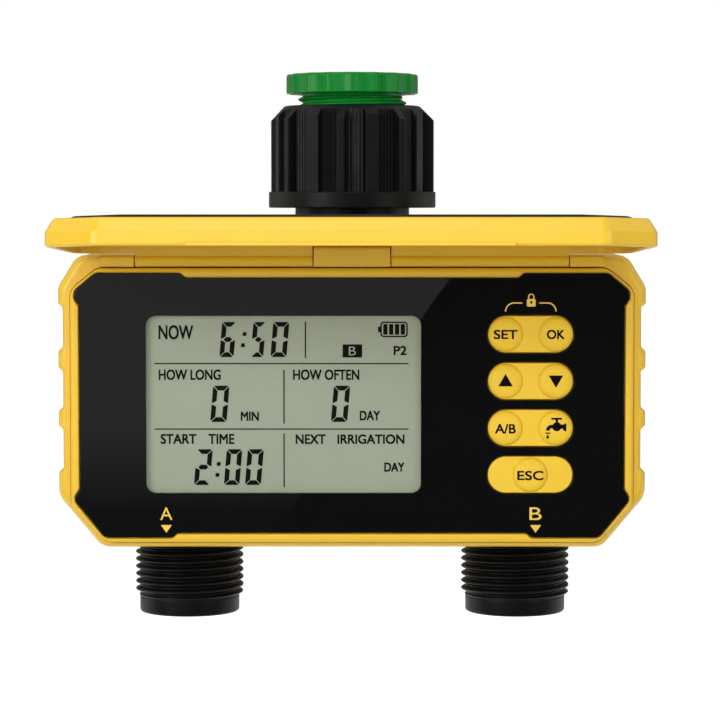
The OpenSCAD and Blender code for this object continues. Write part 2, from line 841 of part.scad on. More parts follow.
module manifold() {
    socket_bottom = body_top - spigot_stem_l;
    color("#2a2a2a") difference() {
        union() {
            translate([0, 0, socket_bottom - 3])
                cylinder(r = socket_r, h = bezel_top - 1 - socket_bottom + 3);
            translate([0, 0, cross_z - cross_r])
                cylinder(r = riser_r, h = socket_bottom - cross_z + cross_r);
            translate([-outlet_x, 0, cross_z]) rotate([0, 90, 0])
                cylinder(r = cross_r, h = outlet_pitch);
            for (side = [-1, 1]) at_outlet(side) {
                translate([0, 0, chamber_bottom])
                    cylinder(r = chamber_out_r, h = seat_z - chamber_bottom);
                translate([-flange_half_x, -flange_half_y, seat_z - flange_t])
                    cube([2 * flange_half_x, 2 * flange_half_y, flange_t]);
            }
        }
        translate([0, 0, socket_bottom]) cylinder(r = spigot_stem_r + 0.05, h = 30);
        translate([0, 0, cross_z]) cylinder(r = riser_bore, h = 60);
        for (side = [-1, 1]) at_outlet(side) {
            translate([0, 0, seat_z - chamber_depth])
                ring(chamber_r, seat_r, chamber_depth + 1);
            translate([0, 0, chamber_bottom - 1]) cylinder(r = seat_bore, h = 40);
            translate([0, 0, chamber_bottom - 1]) cylinder(r = outlet_stem_r + 0.05, h = socket_depth + 1);
            for (sx = [-1, 1]) for (sy = [-1, 1])
                translate([sx * screw_x, sy * screw_y, seat_z - flange_t - 1])
                    cylinder(r = bonnet_screw_r, h = 10, $fn = 48);
        }
        for (side = [-1, 1]) scale_x(side) translate([0, 0, cross_z]) rotate([0, 90, 0])
            cylinder(r = cross_bore, h = outlet_x - (chamber_r + seat_r) / 2);
    }
}

module scale_x(side) {
    mirror([side < 0 ? 1 : 0, 0, 0]) children();
}

module outlet(side) {
    stem_top = chamber_bottom + socket_depth;
    color("#1c1c1c") at_outlet(side) difference() {
        union() {
            translate([0, 0, shell_floor]) cylinder(r = collar_r, h = collar_h);
            translate([0, 0, body_bottom - eps])
                cylinder(r = thread_r, h = shell_floor - body_bottom + 2 * eps);
            translate([0, 0, body_bottom]) threaded_rod(thread_r, thread_turns);
            translate([0, 0, outlet_end]) cylinder(r = tip_r, h = tip_l);
            translate([0, 0, shell_floor]) cylinder(r = outlet_stem_r, h = stem_top - shell_floor);
        }
        translate([0, 0, outlet_end - 1])
            cylinder(r = outlet_bore, h = thread_l + tip_l + 1);
        translate([0, 0, outlet_end]) cylinder(r = seat_bore, h = 60);
        translate([0, 0, outlet_seal_z]) ring(outlet_stem_r + 1, outlet_stem_r - 1, outlet_seal_t);
    }
}

module outlet_seals() {
    color("#303030") for (side = [-1, 1]) at_outlet(side)
        translate([0, 0, outlet_seal_z])
            ring(outlet_stem_r + 0.05, outlet_stem_r - 1, outlet_seal_t);
}

module diaphragm(side) {
    color("#404040") at_outlet(side) translate([0, 0, seat_z]) difference() {
        cylinder(r = diaphragm_r, h = diaphragm_t);
        translate([0, 0, diaphragm_t - 1]) ring(chamber_r - 0.6, seat_r, 2);
    }
}

module bonnet(side) {
    color("#2a2a2a") at_outlet(side) difference() {
        union() {
            translate([-flange_half_x, -flange_half_y, bonnet_bottom])
                cube([2 * flange_half_x, 2 * flange_half_y, flange_t]);
            translate([0, 0, bonnet_bottom]) cylinder(r = coil_r, h = coil_bottom - yoke_t - bonnet_bottom);
            translate([0, 0, bonnet_bottom]) cylinder(r = guide_r, h = guide_top - bonnet_bottom);
        }
        translate([0, 0, plunger_bottom - clear])
            cylinder(r = plunger_r + running, h = guide_top - guide_cap - plunger_bottom + clear);
        translate([0, 0, bonnet_bottom - 1]) cylinder(r = 0.8, h = 4, $fn = 48);
        for (sx = [-1, 1]) for (sy = [-1, 1])
            translate([sx * screw_x, sy * screw_y, bonnet_bottom - 1])
                cylinder(r = bonnet_screw_r, h = 10, $fn = 48);
    }
}

module bonnet_screws() {
    color("silver") for (side = [-1, 1]) at_outlet(side)
        for (sx = [-1, 1]) for (sy = [-1, 1]) translate([sx * screw_x, sy * screw_y, 0]) {
            translate([0, 0, seat_z - flange_t + 0.5])
                cylinder(r = bonnet_screw_r, h = 2 * flange_t + diaphragm_t - 0.5, $fn = 48);
            translate([0, 0, bonnet_bottom + flange_t]) cylinder(r = 2, h = 1.4, $fn = 48);
        }
}

module solenoid_coil(side) {
    color("saddlebrown") at_outlet(side) translate([0, 0, coil_bottom])
        ring(coil_r, guide_r, coil_l);
}

module solenoid_yoke(side) {
    color("slategray") at_outlet(side) difference() {
        translate([-yoke_half, -7, coil_bottom - yoke_t])
            cube([2 * yoke_half, 14, coil_l + 2 * yoke_t]);
        translate([-yoke_half + yoke_t, -8, coil_bottom])
            cube([2 * (yoke_half - yoke_t), 16, coil_l]);
        translate([0, 0, coil_bottom - 3]) cylinder(r = guide_r, h = 30);
    }
}

module plunger(side) {
    color("lightsteelblue") at_outlet(side)
        translate([0, 0, plunger_bottom]) cylinder(r = plunger_r, h = plunger_l);
}

module plunger_spring(side) {
    color("silver") at_outlet(side) translate([0, 0, spring_bottom])
        ring(plunger_r - 0.7, plunger_r - 1.4, spring_top - spring_bottom);
}

// ---- batteries ----

module cover_outline(grow) {
    offset(delta = grow) rounded(3) translate([0, tray_z])
        square([2 * cover_half_x, 2 * cover_half_z], center = true);
}

module opening_outline(grow) {
    translate([0, tray_z])
        square([2 * (opening_half_x + grow), 2 * (opening_half_z + grow)], center = true);
}

module battery_tray() {
    inner_x = tray_half_x - tray_wall;
    inner_z = tray_half_z - tray_wall;
    color("#303030") difference() {
        slab(tray_front, rear_inside) translate([0, tray_z])
            square([2 * tray_half_x, 2 * tray_half_z], center = true);
        for (side = [-1, 1]) slab(tray_front + tray_wall, rear_inside + 1)
            translate([side * (inner_x + tray_wall / 2) / 2, tray_z])
                square([inner_x - tray_wall / 2, 2 * inner_z], center = true);
    }
}

module battery_cells() {
    color("darkslategray") for (side = [-1, 1]) for (up = [-1, 1])
        translate([side * (cell_dx + cell_l / 2), cell_y, tray_z + up * cell_dz])
            rotate([0, 90, 0]) {
                cylinder(r = cell_r, h = cell_l - 2.4, center = true);
                translate([0, 0, -up * side * (cell_l / 2 - 1)])
                    cylinder(r = 2.7, h = 2.4, center = true);
            }
}

module battery_contacts() {
    plate_t = 0.4;
    near = tray_wall / 2;
    far = tray_half_x - tray_wall;
    body_end = cell_l / 2 - 1.2;
    color("silver") for (side = [-1, 1]) for (up = [-1, 1]) {
        mid = cell_dx + cell_l / 2;
        nub_near = up * side * side > 0;
        nub_tip = cell_l / 2 + 0.2;
        near_reach = nub_near ? mid - nub_tip : mid - body_end;
        far_reach = nub_near ? mid + body_end : mid + nub_tip;
        scale_x(side) translate([0, cell_y, tray_z + up * cell_dz]) {
            translate([near, -5, -6]) cube([plate_t, 10, 12]);
            translate([far - plate_t, -5, -6]) cube([plate_t, 10, 12]);
            rotate([0, 90, 0]) translate([0, 0, near])
                cylinder(r = 2.4, h = near_reach - near);
            rotate([0, 90, 0]) translate([0, 0, far_reach])
                cylinder(r = 2.4, h = far - far_reach);
        }
    }
}

module battery_cover() {
    color("goldenrod") difference() {
        union() {
            slab(rear_face - cover_t, rear_face) cover_outline(0);
            slab(rear_inside + 0.2, rear_face - cover_t + eps) difference() {
                opening_outline(-clear);
                opening_outline(-clear - 1.6);
            }
        }
        cover_points() translate([0, 0, rear_face - cover_t - 1]) {
            cylinder(r = cover_screw_r, h = 5, $fn = 48);
            translate([0, 0, 1 + cover_t - 0.9]) cylinder(r = 2.2, h = 3);
        }
        for (i = [-3:3]) translate([i * 3, rear_face - 0.5, tray_z - 6]) cube([1.2, 2, 12]);
    }
}

module battery_seal() {
    color("#303030") slab(cover_floor + 0.05, rear_face - cover_t) difference() {
        opening_outline(1.6);
        opening_outline(0.2);
    }
}

module battery_cover_screws() {
    color("silver") cover_points() {
        translate([0, 0, rear_inside - 4.5])
            cylinder(r = cover_screw_r, h = rear_wall + 4.5 - 0.9 + eps, $fn = 48);
        difference() {
            translate([0, 0, rear_face - 0.9]) cylinder(r = 2.1, h = 0.8);
            translate([0, 0, rear_face - 0.4]) cylinder(r = 1.1, h = 1, $fn = 6);
        }
    }
}

rear_shell();
front_cover();
housing_seal();
case_screws();
front_panel();
display_window();
lcd_glass();
lcd_holder();
zebra_strips();
keypad_mat();
button(KEYS[0]);  // button_set
button(KEYS[1]);  // button_ok
button(KEYS[2]);  // button_up
button(KEYS[3]);  // button_down
button(KEYS[4]);  // button_zone
button(KEYS[5]);  // button_manual
button(KEYS[6]);  // button_escape
main_board();
contact_pads();
board_components();
board_screws();
lid_frame();
lid_insert();
hinge_pins();
inlet_nut();
nut_retainer();
nut_washer();
inlet_filter();
inlet_adapter();
adapter_washer();
inlet_spigot();
spigot_seal();
manifold();
outlet(-1);  // outlet_a
outlet(1);  // outlet_b
outlet_seals();
diaphragm(-1);  // diaphragm_a
diaphragm(1);  // diaphragm_b
bonnet(-1);  // bonnet_a
bonnet(1);  // bonnet_b
bonnet_screws();
solenoid_coil(-1);  // solenoid_coil_a
solenoid_coil(1);  // solenoid_coil_b
solenoid_yoke(-1);  // solenoid_yoke_a
solenoid_yoke(1);  // solenoid_yoke_b
plunger(-1);  // plunger_a
plunger(1);  // plunger_b
plunger_spring(-1);  // plunger_spring_a
plunger_spring(1);  // plunger_spring_b
battery_tray();
battery_cells();
battery_contacts();
battery_cover();
battery_seal();
battery_cover_screws();
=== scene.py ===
"""Two-outlet tap timer for drip irrigation: its looks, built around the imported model.

Sizes are millimetres in the row frame: origin at the tap adapter's mouth, +Z up, display to -Y.
"""

import math

import bmesh
import bpy
from mathutils import Matrix, Vector


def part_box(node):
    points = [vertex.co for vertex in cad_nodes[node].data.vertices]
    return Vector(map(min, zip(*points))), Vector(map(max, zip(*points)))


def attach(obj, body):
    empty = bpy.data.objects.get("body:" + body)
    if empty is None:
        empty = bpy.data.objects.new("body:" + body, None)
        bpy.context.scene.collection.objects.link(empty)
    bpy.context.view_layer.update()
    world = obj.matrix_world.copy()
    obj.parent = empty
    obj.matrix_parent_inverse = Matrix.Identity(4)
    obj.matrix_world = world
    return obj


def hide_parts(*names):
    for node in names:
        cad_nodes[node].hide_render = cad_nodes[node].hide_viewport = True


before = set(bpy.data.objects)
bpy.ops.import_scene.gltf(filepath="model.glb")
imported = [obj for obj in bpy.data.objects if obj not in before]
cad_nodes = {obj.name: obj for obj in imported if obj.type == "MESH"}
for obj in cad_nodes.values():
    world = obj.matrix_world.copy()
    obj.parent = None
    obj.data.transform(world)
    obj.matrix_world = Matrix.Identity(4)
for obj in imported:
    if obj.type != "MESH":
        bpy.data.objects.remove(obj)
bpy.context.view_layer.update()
scene = bpy.context.scene
MM = 0.001


def span(name):
    """A CAD node's lowest and highest corners at rest, in millimetres."""
    low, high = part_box(name)
    return Vector(low) / MM, Vector(high) / MM


def shown(name, data):
    """A new object of a mesh, curve, lamp or camera, in the scene."""
    obj = bpy.data.objects.new(name, data)
    scene.collection.objects.link(obj)
    return obj


# ---------------------------------------------------------------- camera, lights and floor

camera = shown("camera", bpy.data.cameras.new("camera"))
camera.data.lens = 137.5
camera.data.sensor_width = 36
camera.location = Vector((1.9, -673, -30.5)) * MM
camera.rotation_euler = (math.radians(90 - 3.33), 0, 0)
scene.camera = camera
scene.view_settings.view_transform = "Standard"


def linear(code):
    """An sRGB hex colour as the linear colour that a shader socket takes."""
    values = [int(code[i:i + 2], 16) / 255 for i in (1, 3, 5)]
    return (*[v / 12.92 if v <= 0.04045 else ((v + 0.055) / 1.055) ** 2.4 for v in values], 1)


def add(tree, kind, settings=None, links=None):
    """Adds a shader node. Settings go to its sockets or its own fields, links to its sockets."""
    node = tree.nodes.new(kind)
    for key, value in (settings or {}).items():
        if isinstance(key, str) and hasattr(node, key):
            setattr(node, key, value)
    for key, value in (settings or {}).items():
        if isinstance(key, int) or not hasattr(node, key):
            node.inputs[key].default_value = value
    for key, socket in (links or {}).items():
        tree.links.new(socket, node.inputs[key])
    return node


def fresh_tree(owner):
    owner.use_nodes = True
    owner.node_tree.nodes.clear()
    return owner.node_tree


def new_material(name):
    material = bpy.data.materials.new(name)
    return material, fresh_tree(material)


def output(tree, shader):
    add(tree, "ShaderNodeOutputMaterial", None, {"Surface": shader.outputs[0]})


def plain_white_for_view(tree):
    """Weight of 1 for what looks at the backdrop straight, in a mirror or through glass."""
    path = add(tree, "ShaderNodeLightPath")
    seen = add(tree, "ShaderNodeMath", {"operation": "MAXIMUM"},
               {0: path.outputs["Is Camera Ray"], 1: path.outputs["Is Glossy Ray"]})
    seen = add(tree, "ShaderNodeMath", {"operation": "MAXIMUM"},
               {0: seen.outputs[0], 1: path.outputs["Is Transmission Ray"]})
    return seen.outputs[0]


AMBIENT = 0.34
FLOOR = -260


def make_world():
    world = bpy.data.worlds.new("studio")
    scene.world = world
    tree = fresh_tree(world)
    white = add(tree, "ShaderNodeBackground", {"Color": (1, 1, 1, 1), "Strength": 1.0})
    soft = add(tree, "ShaderNodeBackground", {"Color": (1, 1, 1, 1), "Strength": AMBIENT})
    mix = add(tree, "ShaderNodeMixShader", None,
              {0: plain_white_for_view(tree), 1: soft.outputs[0], 2: white.outputs[0]})
    add(tree, "ShaderNodeOutputWorld", None, {"Surface": mix.outputs[0]})


def softbox(name, where, target, size, power):
    """A square studio lamp, size in millimetres, turned to its target."""
    lamp = bpy.data.lights.new(name, "AREA")
    lamp.size = size * MM
    lamp.energy = power
    obj = shown(name, lamp)
    obj.location = Vector(where) * MM
    aim = (Vector(target) - Vector(where)).to_track_quat("-Z", "Y")
    obj.rotation_euler = aim.to_euler()
    return obj


def card(name, corners, strength, fade=None):
    """A glowing card that only shows in glossy surfaces. fade is the heights in millimetres
    between which it dims towards its lower edge."""
    mesh = bpy.data.meshes.new(name)
    mesh.from_pydata([Vector(c) * MM for c in corners], [], [list(range(len(corners)))])
    obj = shown(name, mesh)
    material, tree = new_material(name)
    glow = add(tree, "ShaderNodeEmission", {"Color": (1, 1, 1, 1), "Strength": strength})
    if fade:
        place = add(tree, "ShaderNodeTexCoord").outputs["Object"]
        height = add(tree, "ShaderNodeSeparateXYZ", None, {0: place}).outputs["Z"]
        dim = add(tree, "ShaderNodeMapRange",
                  {"From Min": fade[0] * MM, "From Max": fade[1] * MM,
                   "To Min": strength * 0.12, "To Max": strength}, {"Value": height})
        tree.links.new(dim.outputs[0], glow.inputs["Strength"])
    output(tree, glow)
    mesh.materials.append(material)
    obj.visible_camera = False
    obj.visible_diffuse = False
    obj.visible_shadow = False
    obj.visible_transmission = False
    return obj


def make_studio():
    make_world()
    softbox("top_softbox", (-50, -420, 580), (0, -60, -50), 340, 1.1)
    softbox("left_softbox", (-620, -620, 120), (0, 0, -80), 420, 2.9)
    softbox("right_softbox", (640, -560, 60), (0, 0, -80), 420, 1.2)
    for name, where, target, size, power in (
            ("back_softbox", (120, 700, 260), (0, 0, -80), 420, 2.0),
            ("front_softbox", (-60, -900, 120), (0, 0, -60), 500, 3.1)):
        softbox(name, where, target, size, power).visible_glossy = False
    # Gloss shows a dark room in front of the object and a half dark wall behind it. The
    # slanted edge of a pale card lies across the panel's left part
    wide, near, far, back, low, high = 1200, -760, -60, 900, FLOOR + 4, 1100
    room = [(x, y, z) for x in (-wide, wide) for y in (near, far) for z in (low, high)]
    for name, picks in (("dark_wall", (0, 4, 5, 1)), ("dark_left", (0, 2, 3, 1)),
                        ("dark_right", (4, 6, 7, 5)), ("dark_top", (1, 5, 7, 3)),
                        ("dark_floor", (0, 4, 6, 2))):
        card(name, [room[i] for i in picks], 0.03)
    card("back_wall", [(-wide, back, low), (wide, back, low), (wide, back, high),
                       (-wide, back, high)], 0.3)
    in_front = near + 8
    card("grey_card", [(-700, in_front, low + 1), (-80.7, in_front, low + 1),
                       (300, in_front, 300), (-700, in_front, 300)], 0.43, fade=(-188, -144))

    floor = bpy.data.meshes.new("floor")
    edge = 12.0
    floor.from_pydata([(-edge, -edge, 0), (edge, -edge, 0), (edge, edge, 0), (-edge, edge, 0)],
                      [], [(0, 1, 2, 3)])
    obj = shown("floor", floor)
    obj.location.z = FLOOR * MM
    material, tree = new_material("pale_floor")
    paper = add(tree, "ShaderNodeBsdfDiffuse", {"Color": linear("#f4f4f2")})
    glow = add(tree, "ShaderNodeEmission", {"Color": (1, 1, 1, 1), "Strength": 0.75})
    both = add(tree, "ShaderNodeAddShader", None, {0: paper.outputs[0], 1: glow.outputs[0]})
    # It throws less light back up than it shows, so that undersides stay in shade
    bounce = add(tree, "ShaderNodeBsdfDiffuse", {"Color": linear("#c2c2c0")})
    chosen = add(tree, "ShaderNodeMixShader", None,
                 {0: plain_white_for_view(tree), 1: bounce.outputs[0], 2: both.outputs[0]})
    output(tree, chosen)
    floor.materials.append(material)


# ---------------------------------------------------------------- materials


def surface(name, colour, roughness, grain=None, grain_depth=0.0, mottle=0.03, mottle_size=9.0,
            swing=0.05, specular=0.5, **sockets):
    """A moulded or pressed surface: grain is the texture's real size in mm, grain_depth its
    height, mottle the share by which the colour drifts over mottle_size mm, swing how far the
    roughness drifts, and specular the strength of its gloss."""
    material, tree = new_material(name)
    place = add(tree, "ShaderNodeTexCoord").outputs["Object"]
    drift = add(tree, "ShaderNodeTexNoise",
                {"Scale": 1 / (mottle_size * MM), "Detail": 3.0, "Roughness": 0.55},
                {"Vector": place})
    base = linear(colour)
    shade = add(tree, "ShaderNodeValToRGB", None, {0: drift.outputs[0]})
    low, high = shade.color_ramp.elements
    low.position, high.position = 0.3, 0.7
    low.color = (*[c * (1 - mottle) for c in base[:3]], 1)
    high.color = (*[min(1, c * (1 + mottle)) for c in base[:3]], 1)
    polish = add(tree, "ShaderNodeMapRange",
                 {"From Min": 0.3, "From Max": 0.7, "To Min": roughness - swing,
                  "To Max": roughness + swing}, {"Value": drift.outputs[0]})
    shader = add(tree, "ShaderNodeBsdfPrincipled", {"Specular IOR Level": specular, **sockets},
                 {"Base Color": shade.outputs[0], "Roughness": polish.outputs[0]})
    if grain:
        texture = add(tree, "ShaderNodeTexNoise",
                      {"Scale": 1 / (grain * MM), "Detail": 2.0}, {"Vector": place})
        bump = add(tree, "ShaderNodeBump", {"Strength": 0.6, "Distance": grain_depth * MM},
                   {"Height": texture.outputs[0]})
        tree.links.new(bump.outputs[0], shader.inputs["Normal"])
    output(tree, shader)
    return material


def make_materials():
    """Every finish on the timer."""
    finishes = {}

    def define(name, *args, **kinds):
        finishes[name] = surface(name, *args, **kinds)

    # ABS, injection moulded in a lightly spark-textured tool: satin yellow whose broad
    # highlights break up into a very fine grain, drawn at 0.5 mm so that it shows.
    define("yellow_abs", "#edc02c", 0.36, grain=0.5, grain_depth=0.012, mottle=0.02, IOR=1.54)
    # Silicone rubber, compression moulded: a dull, soft surface that keeps its colour in shade.
    define("yellow_silicone", "#efc634", 0.5, grain=0.6, grain_depth=0.008, mottle=0.02,
               swing=0.04, IOR=1.41)
    # Cast acrylic sheet printed black on its back: a deep, even black under a mirror-flat face.
    define("black_acrylic", "#0c0c0c", 0.015, mottle=0.05, swing=0.005, IOR=1.49)
    # The same sheet left clear over the display: only its gloss shows.
    define("clear_acrylic", "#1a1c1a", 0.015, mottle=0.01, swing=0.005, IOR=1.49, Alpha=0.06)
    # Display cell with a reflector behind it: flat grey-green with a faint paper-like grain.
    define("lcd_glass", "#a9b39e", 0.42, grain=0.35, grain_depth=0.004, mottle=0.018,
               mottle_size=22.0, IOR=1.5)
    # Switched-on liquid crystal segments: a dense green-black without gloss of their own.
    define("lcd_ink", "#0a0d08", 0.6, mottle=0.15, mottle_size=4.0, specular=0.12)
    # Two-part pad-printing ink on the key caps: flat black, thinner than a hair.
    define("key_ink", "#0a0604", 0.6, mottle=0.1, mottle_size=3.0, specular=0.12)
    # Screen-printed yellow on the panel: slightly weaker than the moulded yellow.
    define("panel_ink", "#ecc84a", 0.35, mottle=0.05, mottle_size=3.0)
    # Nylon with a little glass fibre, injection moulded: black with a grey bloom on edges.
    define("black_nylon", "#0b0c0c", 0.42, grain=0.55, grain_depth=0.02, mottle=0.12,
               mottle_size=5.0, swing=0.07, IOR=1.53, specular=0.17)
    # Polypropylene, injection moulded in a polished tool: bright waxy green.
    define("green_plastic", "#107f2b", 0.26, grain=0.9, grain_depth=0.01, mottle=0.05,
               specular=0.16, IOR=1.49,
               **{"Subsurface Weight": 0.08, "Subsurface Scale": 0.002,
                  "Subsurface Radius": (0.3, 1.0, 0.4)})
    # EPDM rubber, compression moulded: matt black with a trace of powder.
    define("black_rubber", "#1d1d1c", 0.72, grain=0.5, grain_depth=0.02, mottle=0.15,
               mottle_size=3.0)
    # Zinc-plated carbon steel, turned or stamped: grey mirror blurred by fine tool marks.
    define("steel", "#b9bcc0", 0.28, grain=0.3, grain_depth=0.006, mottle=0.06,
               mottle_size=2.5, swing=0.08, Metallic=1.0)
    # Glass-epoxy laminate under green solder resist: glossy with a woven undertone.
    define("circuit_board", "#0f5b2c", 0.3, grain=0.9, grain_depth=0.02, mottle=0.15,
               mottle_size=2.0)
    # Gold flash over nickel on the key contacts.
    define("gold_pads", "#d9b25a", 0.22, mottle=0.05, mottle_size=1.5, Metallic=1.0)
    # Transfer-moulded epoxy of the chips: flat charcoal.
    define("black_chips", "#1a1a1b", 0.6, grain=0.3, grain_depth=0.01, mottle=0.1)
    # Enamelled copper wire, wound in layers 0.35 mm apart and varnished, with painted shade in the
    # grooves between turns.
    finishes["copper_winding"] = wound_copper()
    # High-impact polystyrene of the battery tray: dull black.
    define("black_tray", "#202021", 0.5, grain=0.6, grain_depth=0.02, mottle=0.1)
    # Heat-shrunk printed film around each cell: plain dark sleeve with a soft gloss.
    define("cell_sleeve", "#2f4a52", 0.25, grain=3.0, grain_depth=0.02, mottle=0.08)
    # Unfilled acetal or ABS in its natural colour: milky white.
    define("white_plastic", "#dcdcd6", 0.42, grain=0.6, grain_depth=0.01, IOR=1.48)
    # Layered silicone with conducting bands, 0.4 mm apart, that feeds the display.
    define("contact_rubber", "#c98a92", 0.65, grain=0.4, grain_depth=0.02, mottle=0.2,
               mottle_size=0.8)
    return finishes


def wound_copper():
    material, tree = new_material("copper_winding")
    place = add(tree, "ShaderNodeTexCoord").outputs["Object"]
    turns = add(tree, "ShaderNodeTexWave",
                {"wave_type": "BANDS", "bands_direction": "Z", "Scale": 1 / (0.35 * MM) / 6.28,
                 "Distortion": 0.4}, {"Vector": place})
    # Painted shade: the colour darkens in the grooves between turns and lightens on their crests,
    # in step with the bump, over the copper's own colour.
    groove_shade_tint = add(tree, "ShaderNodeValToRGB", None, {0: turns.outputs[0]})
    groove_shade_tint.color_ramp.elements[0].color = linear("#6b2d14")
    groove_shade_tint.color_ramp.elements[1].color = linear("#c4723c")
    bump = add(tree, "ShaderNodeBump", {"Strength": 0.8, "Distance": 0.1 * MM},
               {"Height": turns.outputs[0]})
    shader = add(tree, "ShaderNodeBsdfPrincipled", {"Metallic": 0.8, "Roughness": 0.35},
                 {"Base Color": groove_shade_tint.outputs[0], "Normal": bump.outputs[0]})
    output(tree, shader)
    return material


# ---------------------------------------------------------------- shapes


def flat(corners, radius=0.0, steps=6):
    """A closed outline, counter-clockwise, with its corners rounded. radius is one number or
    one for each corner."""
    points = [Vector(c) for c in corners]
    count = len(points)
    radii = list(radius) if isinstance(radius, (list, tuple)) else [radius] * count
    out = []
    for i, here in enumerate(points):
        back = points[i - 1] - here
        ahead = points[(i + 1) % count] - here
        if radii[i] <= 0:
            out.append(here)
            continue
        room = 0.49 * min(back.length, ahead.length)
        back.normalize()
        ahead.normalize()
        half = back.angle(ahead) / 2
        reach = min(radii[i] / math.tan(half), room)
        centre = here + (back + ahead).normalized() * (reach / math.cos(half))
        start = here + back * reach - centre
        end = here + ahead * reach - centre
        turn = math.atan2(start.x * end.y - start.y * end.x, start.dot(end))
        out += [centre + Matrix.Rotation(turn * k / steps, 2) @ start for k in range(steps + 1)]
    area = sum(a.x * b.y - b.x * a.y for a, b in zip(out, out[1:] + out[:1]))
    return out if area > 0 else out[::-1]


def rectangle(half_u, half_v, radius=0.0, centre=(0, 0), steps=6):
    u, v = centre
    return flat([(u - half_u, v - half_v), (u + half_u, v - half_v),
                 (u + half_u, v + half_v), (u - half_u, v + half_v)], radius, steps)


def octagon(half, top, bottom, cut, radius=4.0, steps=8):
    """Outline of the case: cut is the corners' width and height at the top, then the bottom."""
    return flat([(-half + cut[0], top), (half - cut[0], top), (half, top - cut[1]),
                 (half, bottom + cut[3]), (half - cut[2], bottom), (-half + cut[2], bottom),
                 (-half, bottom + cut[3]), (-half, top - cut[1])], radius, steps)


def grown(outline, distance):
    """The outline moved outwards by distance, keeping its number of points."""
    if not distance:
        return outline
    out = []
    for i, here in enumerate(outline):
        a = (here - outline[i - 1]).normalized()
        b = (outline[(i + 1) % len(outline)] - here).normalized()
        bisector = Vector((a.y + b.y, -a.x - b.x))
        out.append(here + bisector * (distance / max(0.3, 1 + a.dot(b))))
    return out


AXES = {"x": lambda u, v, h: (h, u, v), "y": lambda u, v, h: (u, h, v),
        "z": lambda u, v, h: (u, v, h)}


def cleaned(mesh, near, thin=0.0, fill=False):
    """Merges doubled points, drops faces that are too thin, fills holes and turns all faces
    outwards."""
    work = bmesh.new()
    work.from_mesh(mesh)
    bmesh.ops.remove_doubles(work, verts=work.verts, dist=near)
    if thin:
        bmesh.ops.dissolve_degenerate(work, edges=work.edges, dist=thin)
    if fill:
        rims = [edge for edge in work.edges if edge.is_boundary]
        bmesh.ops.holes_fill(work, edges=rims, sides=0)
    bmesh.ops.recalc_face_normals(work, faces=work.faces)
    work.to_mesh(mesh)
    work.free()
    return mesh


def solid(name, points, faces):
    """A closed mesh from points in millimetres."""
    mesh = bpy.data.meshes.new(name)
    mesh.from_pydata([Vector(p) * MM for p in points], [], faces)
    return shown(name, cleaned(mesh, 1e-7, thin=1e-7))


def stack(name, rings, axis):
    """A solid through rings of (outline, height), each with the same number of points."""
    place = AXES[axis]
    count = len(rings[0][0])
    points = [place(p[0], p[1], h) for outline, h in rings for p in outline]
    faces = [list(range(count))[::-1], list(range(count * (len(rings) - 1), count * len(rings)))]
    for r in range(len(rings) - 1):
        low, high = r * count, (r + 1) * count
        faces += [(low + k, low + (k + 1) % count, high + (k + 1) % count, high + k)
                  for k in range(count)]
    return solid(name, points, faces)


def quarter(width, height, steps=4):
    """Steps of a rounded edge: how far in and how far along, from the face to the side."""
    return [(width * (1 - math.sin(math.pi / 2 * k / steps)),
             height * (1 - math.cos(math.pi / 2 * k / steps))) for k in range(steps + 1)]


def plate(name, outline, low, high, axis="y", low_edge=0.3, high_edge=0.3, steps=4):
    """An outline raised from low to high with rounded edges. An edge is a radius, or a width
    and a height."""
    wl, hl = low_edge if isinstance(low_edge, tuple) else (low_edge, low_edge)
    wh, hh = high_edge if isinstance(high_edge, tuple) else (high_edge, high_edge)
    rings = [(grown(outline, -w), low + h) for w, h in quarter(wl, hl, steps)]
    rings += [(grown(outline, -w), high - h) for w, h in reversed(quarter(wh, hh, steps))]
    return stack(name, rings, axis)


def opening(outline, face, depth, lip=0.2, axis="y", steps=3, over=1.0):
    """A cutter for a hole or pocket whose mouth at face is rounded over; depth is signed."""
    way = 1 if depth > 0 else -1
    rings = [(grown(outline, lip), face - way * over)]
    rings += [(grown(outline, w), face + way * h) for w, h in quarter(lip, lip, steps)]
    rings.append((outline, face + depth))
    if way < 0:
        rings.reverse()
    return stack("cutter", rings, axis)


def polar(radius, angle):
    return Vector((math.cos(angle), math.sin(angle))) * radius


def turned(name, profile, steps=96, axis="z", centre=(0, 0)):
    """A solid of revolution; profile is (radius, height) from low to high."""
    rings = [([Vector((centre[0] + r * math.cos(2 * math.pi * k / steps),
                       centre[1] + r * math.sin(2 * math.pi * k / steps)))
               for k in range(steps)], h) for r, h in profile]
    return stack(name, rings, axis)


def prism(outline, low, high, axis="y"):
    """A straight solid between two levels along axis."""
    return stack("prism", [(outline, low), (outline, high)], axis)


def rod(radius, low, high, centre=(0, 0), axis="y", steps=32):
    """A round prism."""
    return turned("rod", [(radius, low), (radius, high)], steps, axis, centre)


def both_sides(near, far):
    """The same stretch on the left and on the right."""
    return (-far, -near), (near, far)


def settle(obj):
    """Applies the object's modifiers."""
    graph = bpy.context.evaluated_depsgraph_get()
    mesh = bpy.data.meshes.new_from_object(obj.evaluated_get(graph))
    obj.modifiers.clear()
    old, obj.data = obj.data, mesh
    bpy.data.meshes.remove(old)
    return obj


def modifier(obj, name, kind, **settings):
    """Adds a modifier with the given settings."""
    step = obj.modifiers.new(name, kind)
    for key, value in settings.items():
        setattr(step, key, value)


def combine(obj, operation, others):
    for other in others:
        modifier(obj, "step", "BOOLEAN", operation=operation, solver="MANIFOLD", object=other)
    settle(obj)
    for other in others:
        bpy.data.objects.remove(other)
    return obj


def gather(obj, *others):
    """Puts pieces that don't overlap into one mesh."""
    work = bmesh.new()
    for piece in (obj, *others):
        work.from_mesh(piece.data)
    work.to_mesh(obj.data)
    work.free()
    for other in others:
        bpy.data.objects.remove(other)
    return obj


def minus(obj, *others):
    return combine(obj, "DIFFERENCE", others)


def plus(obj, *others):
    return combine(obj, "UNION", others)


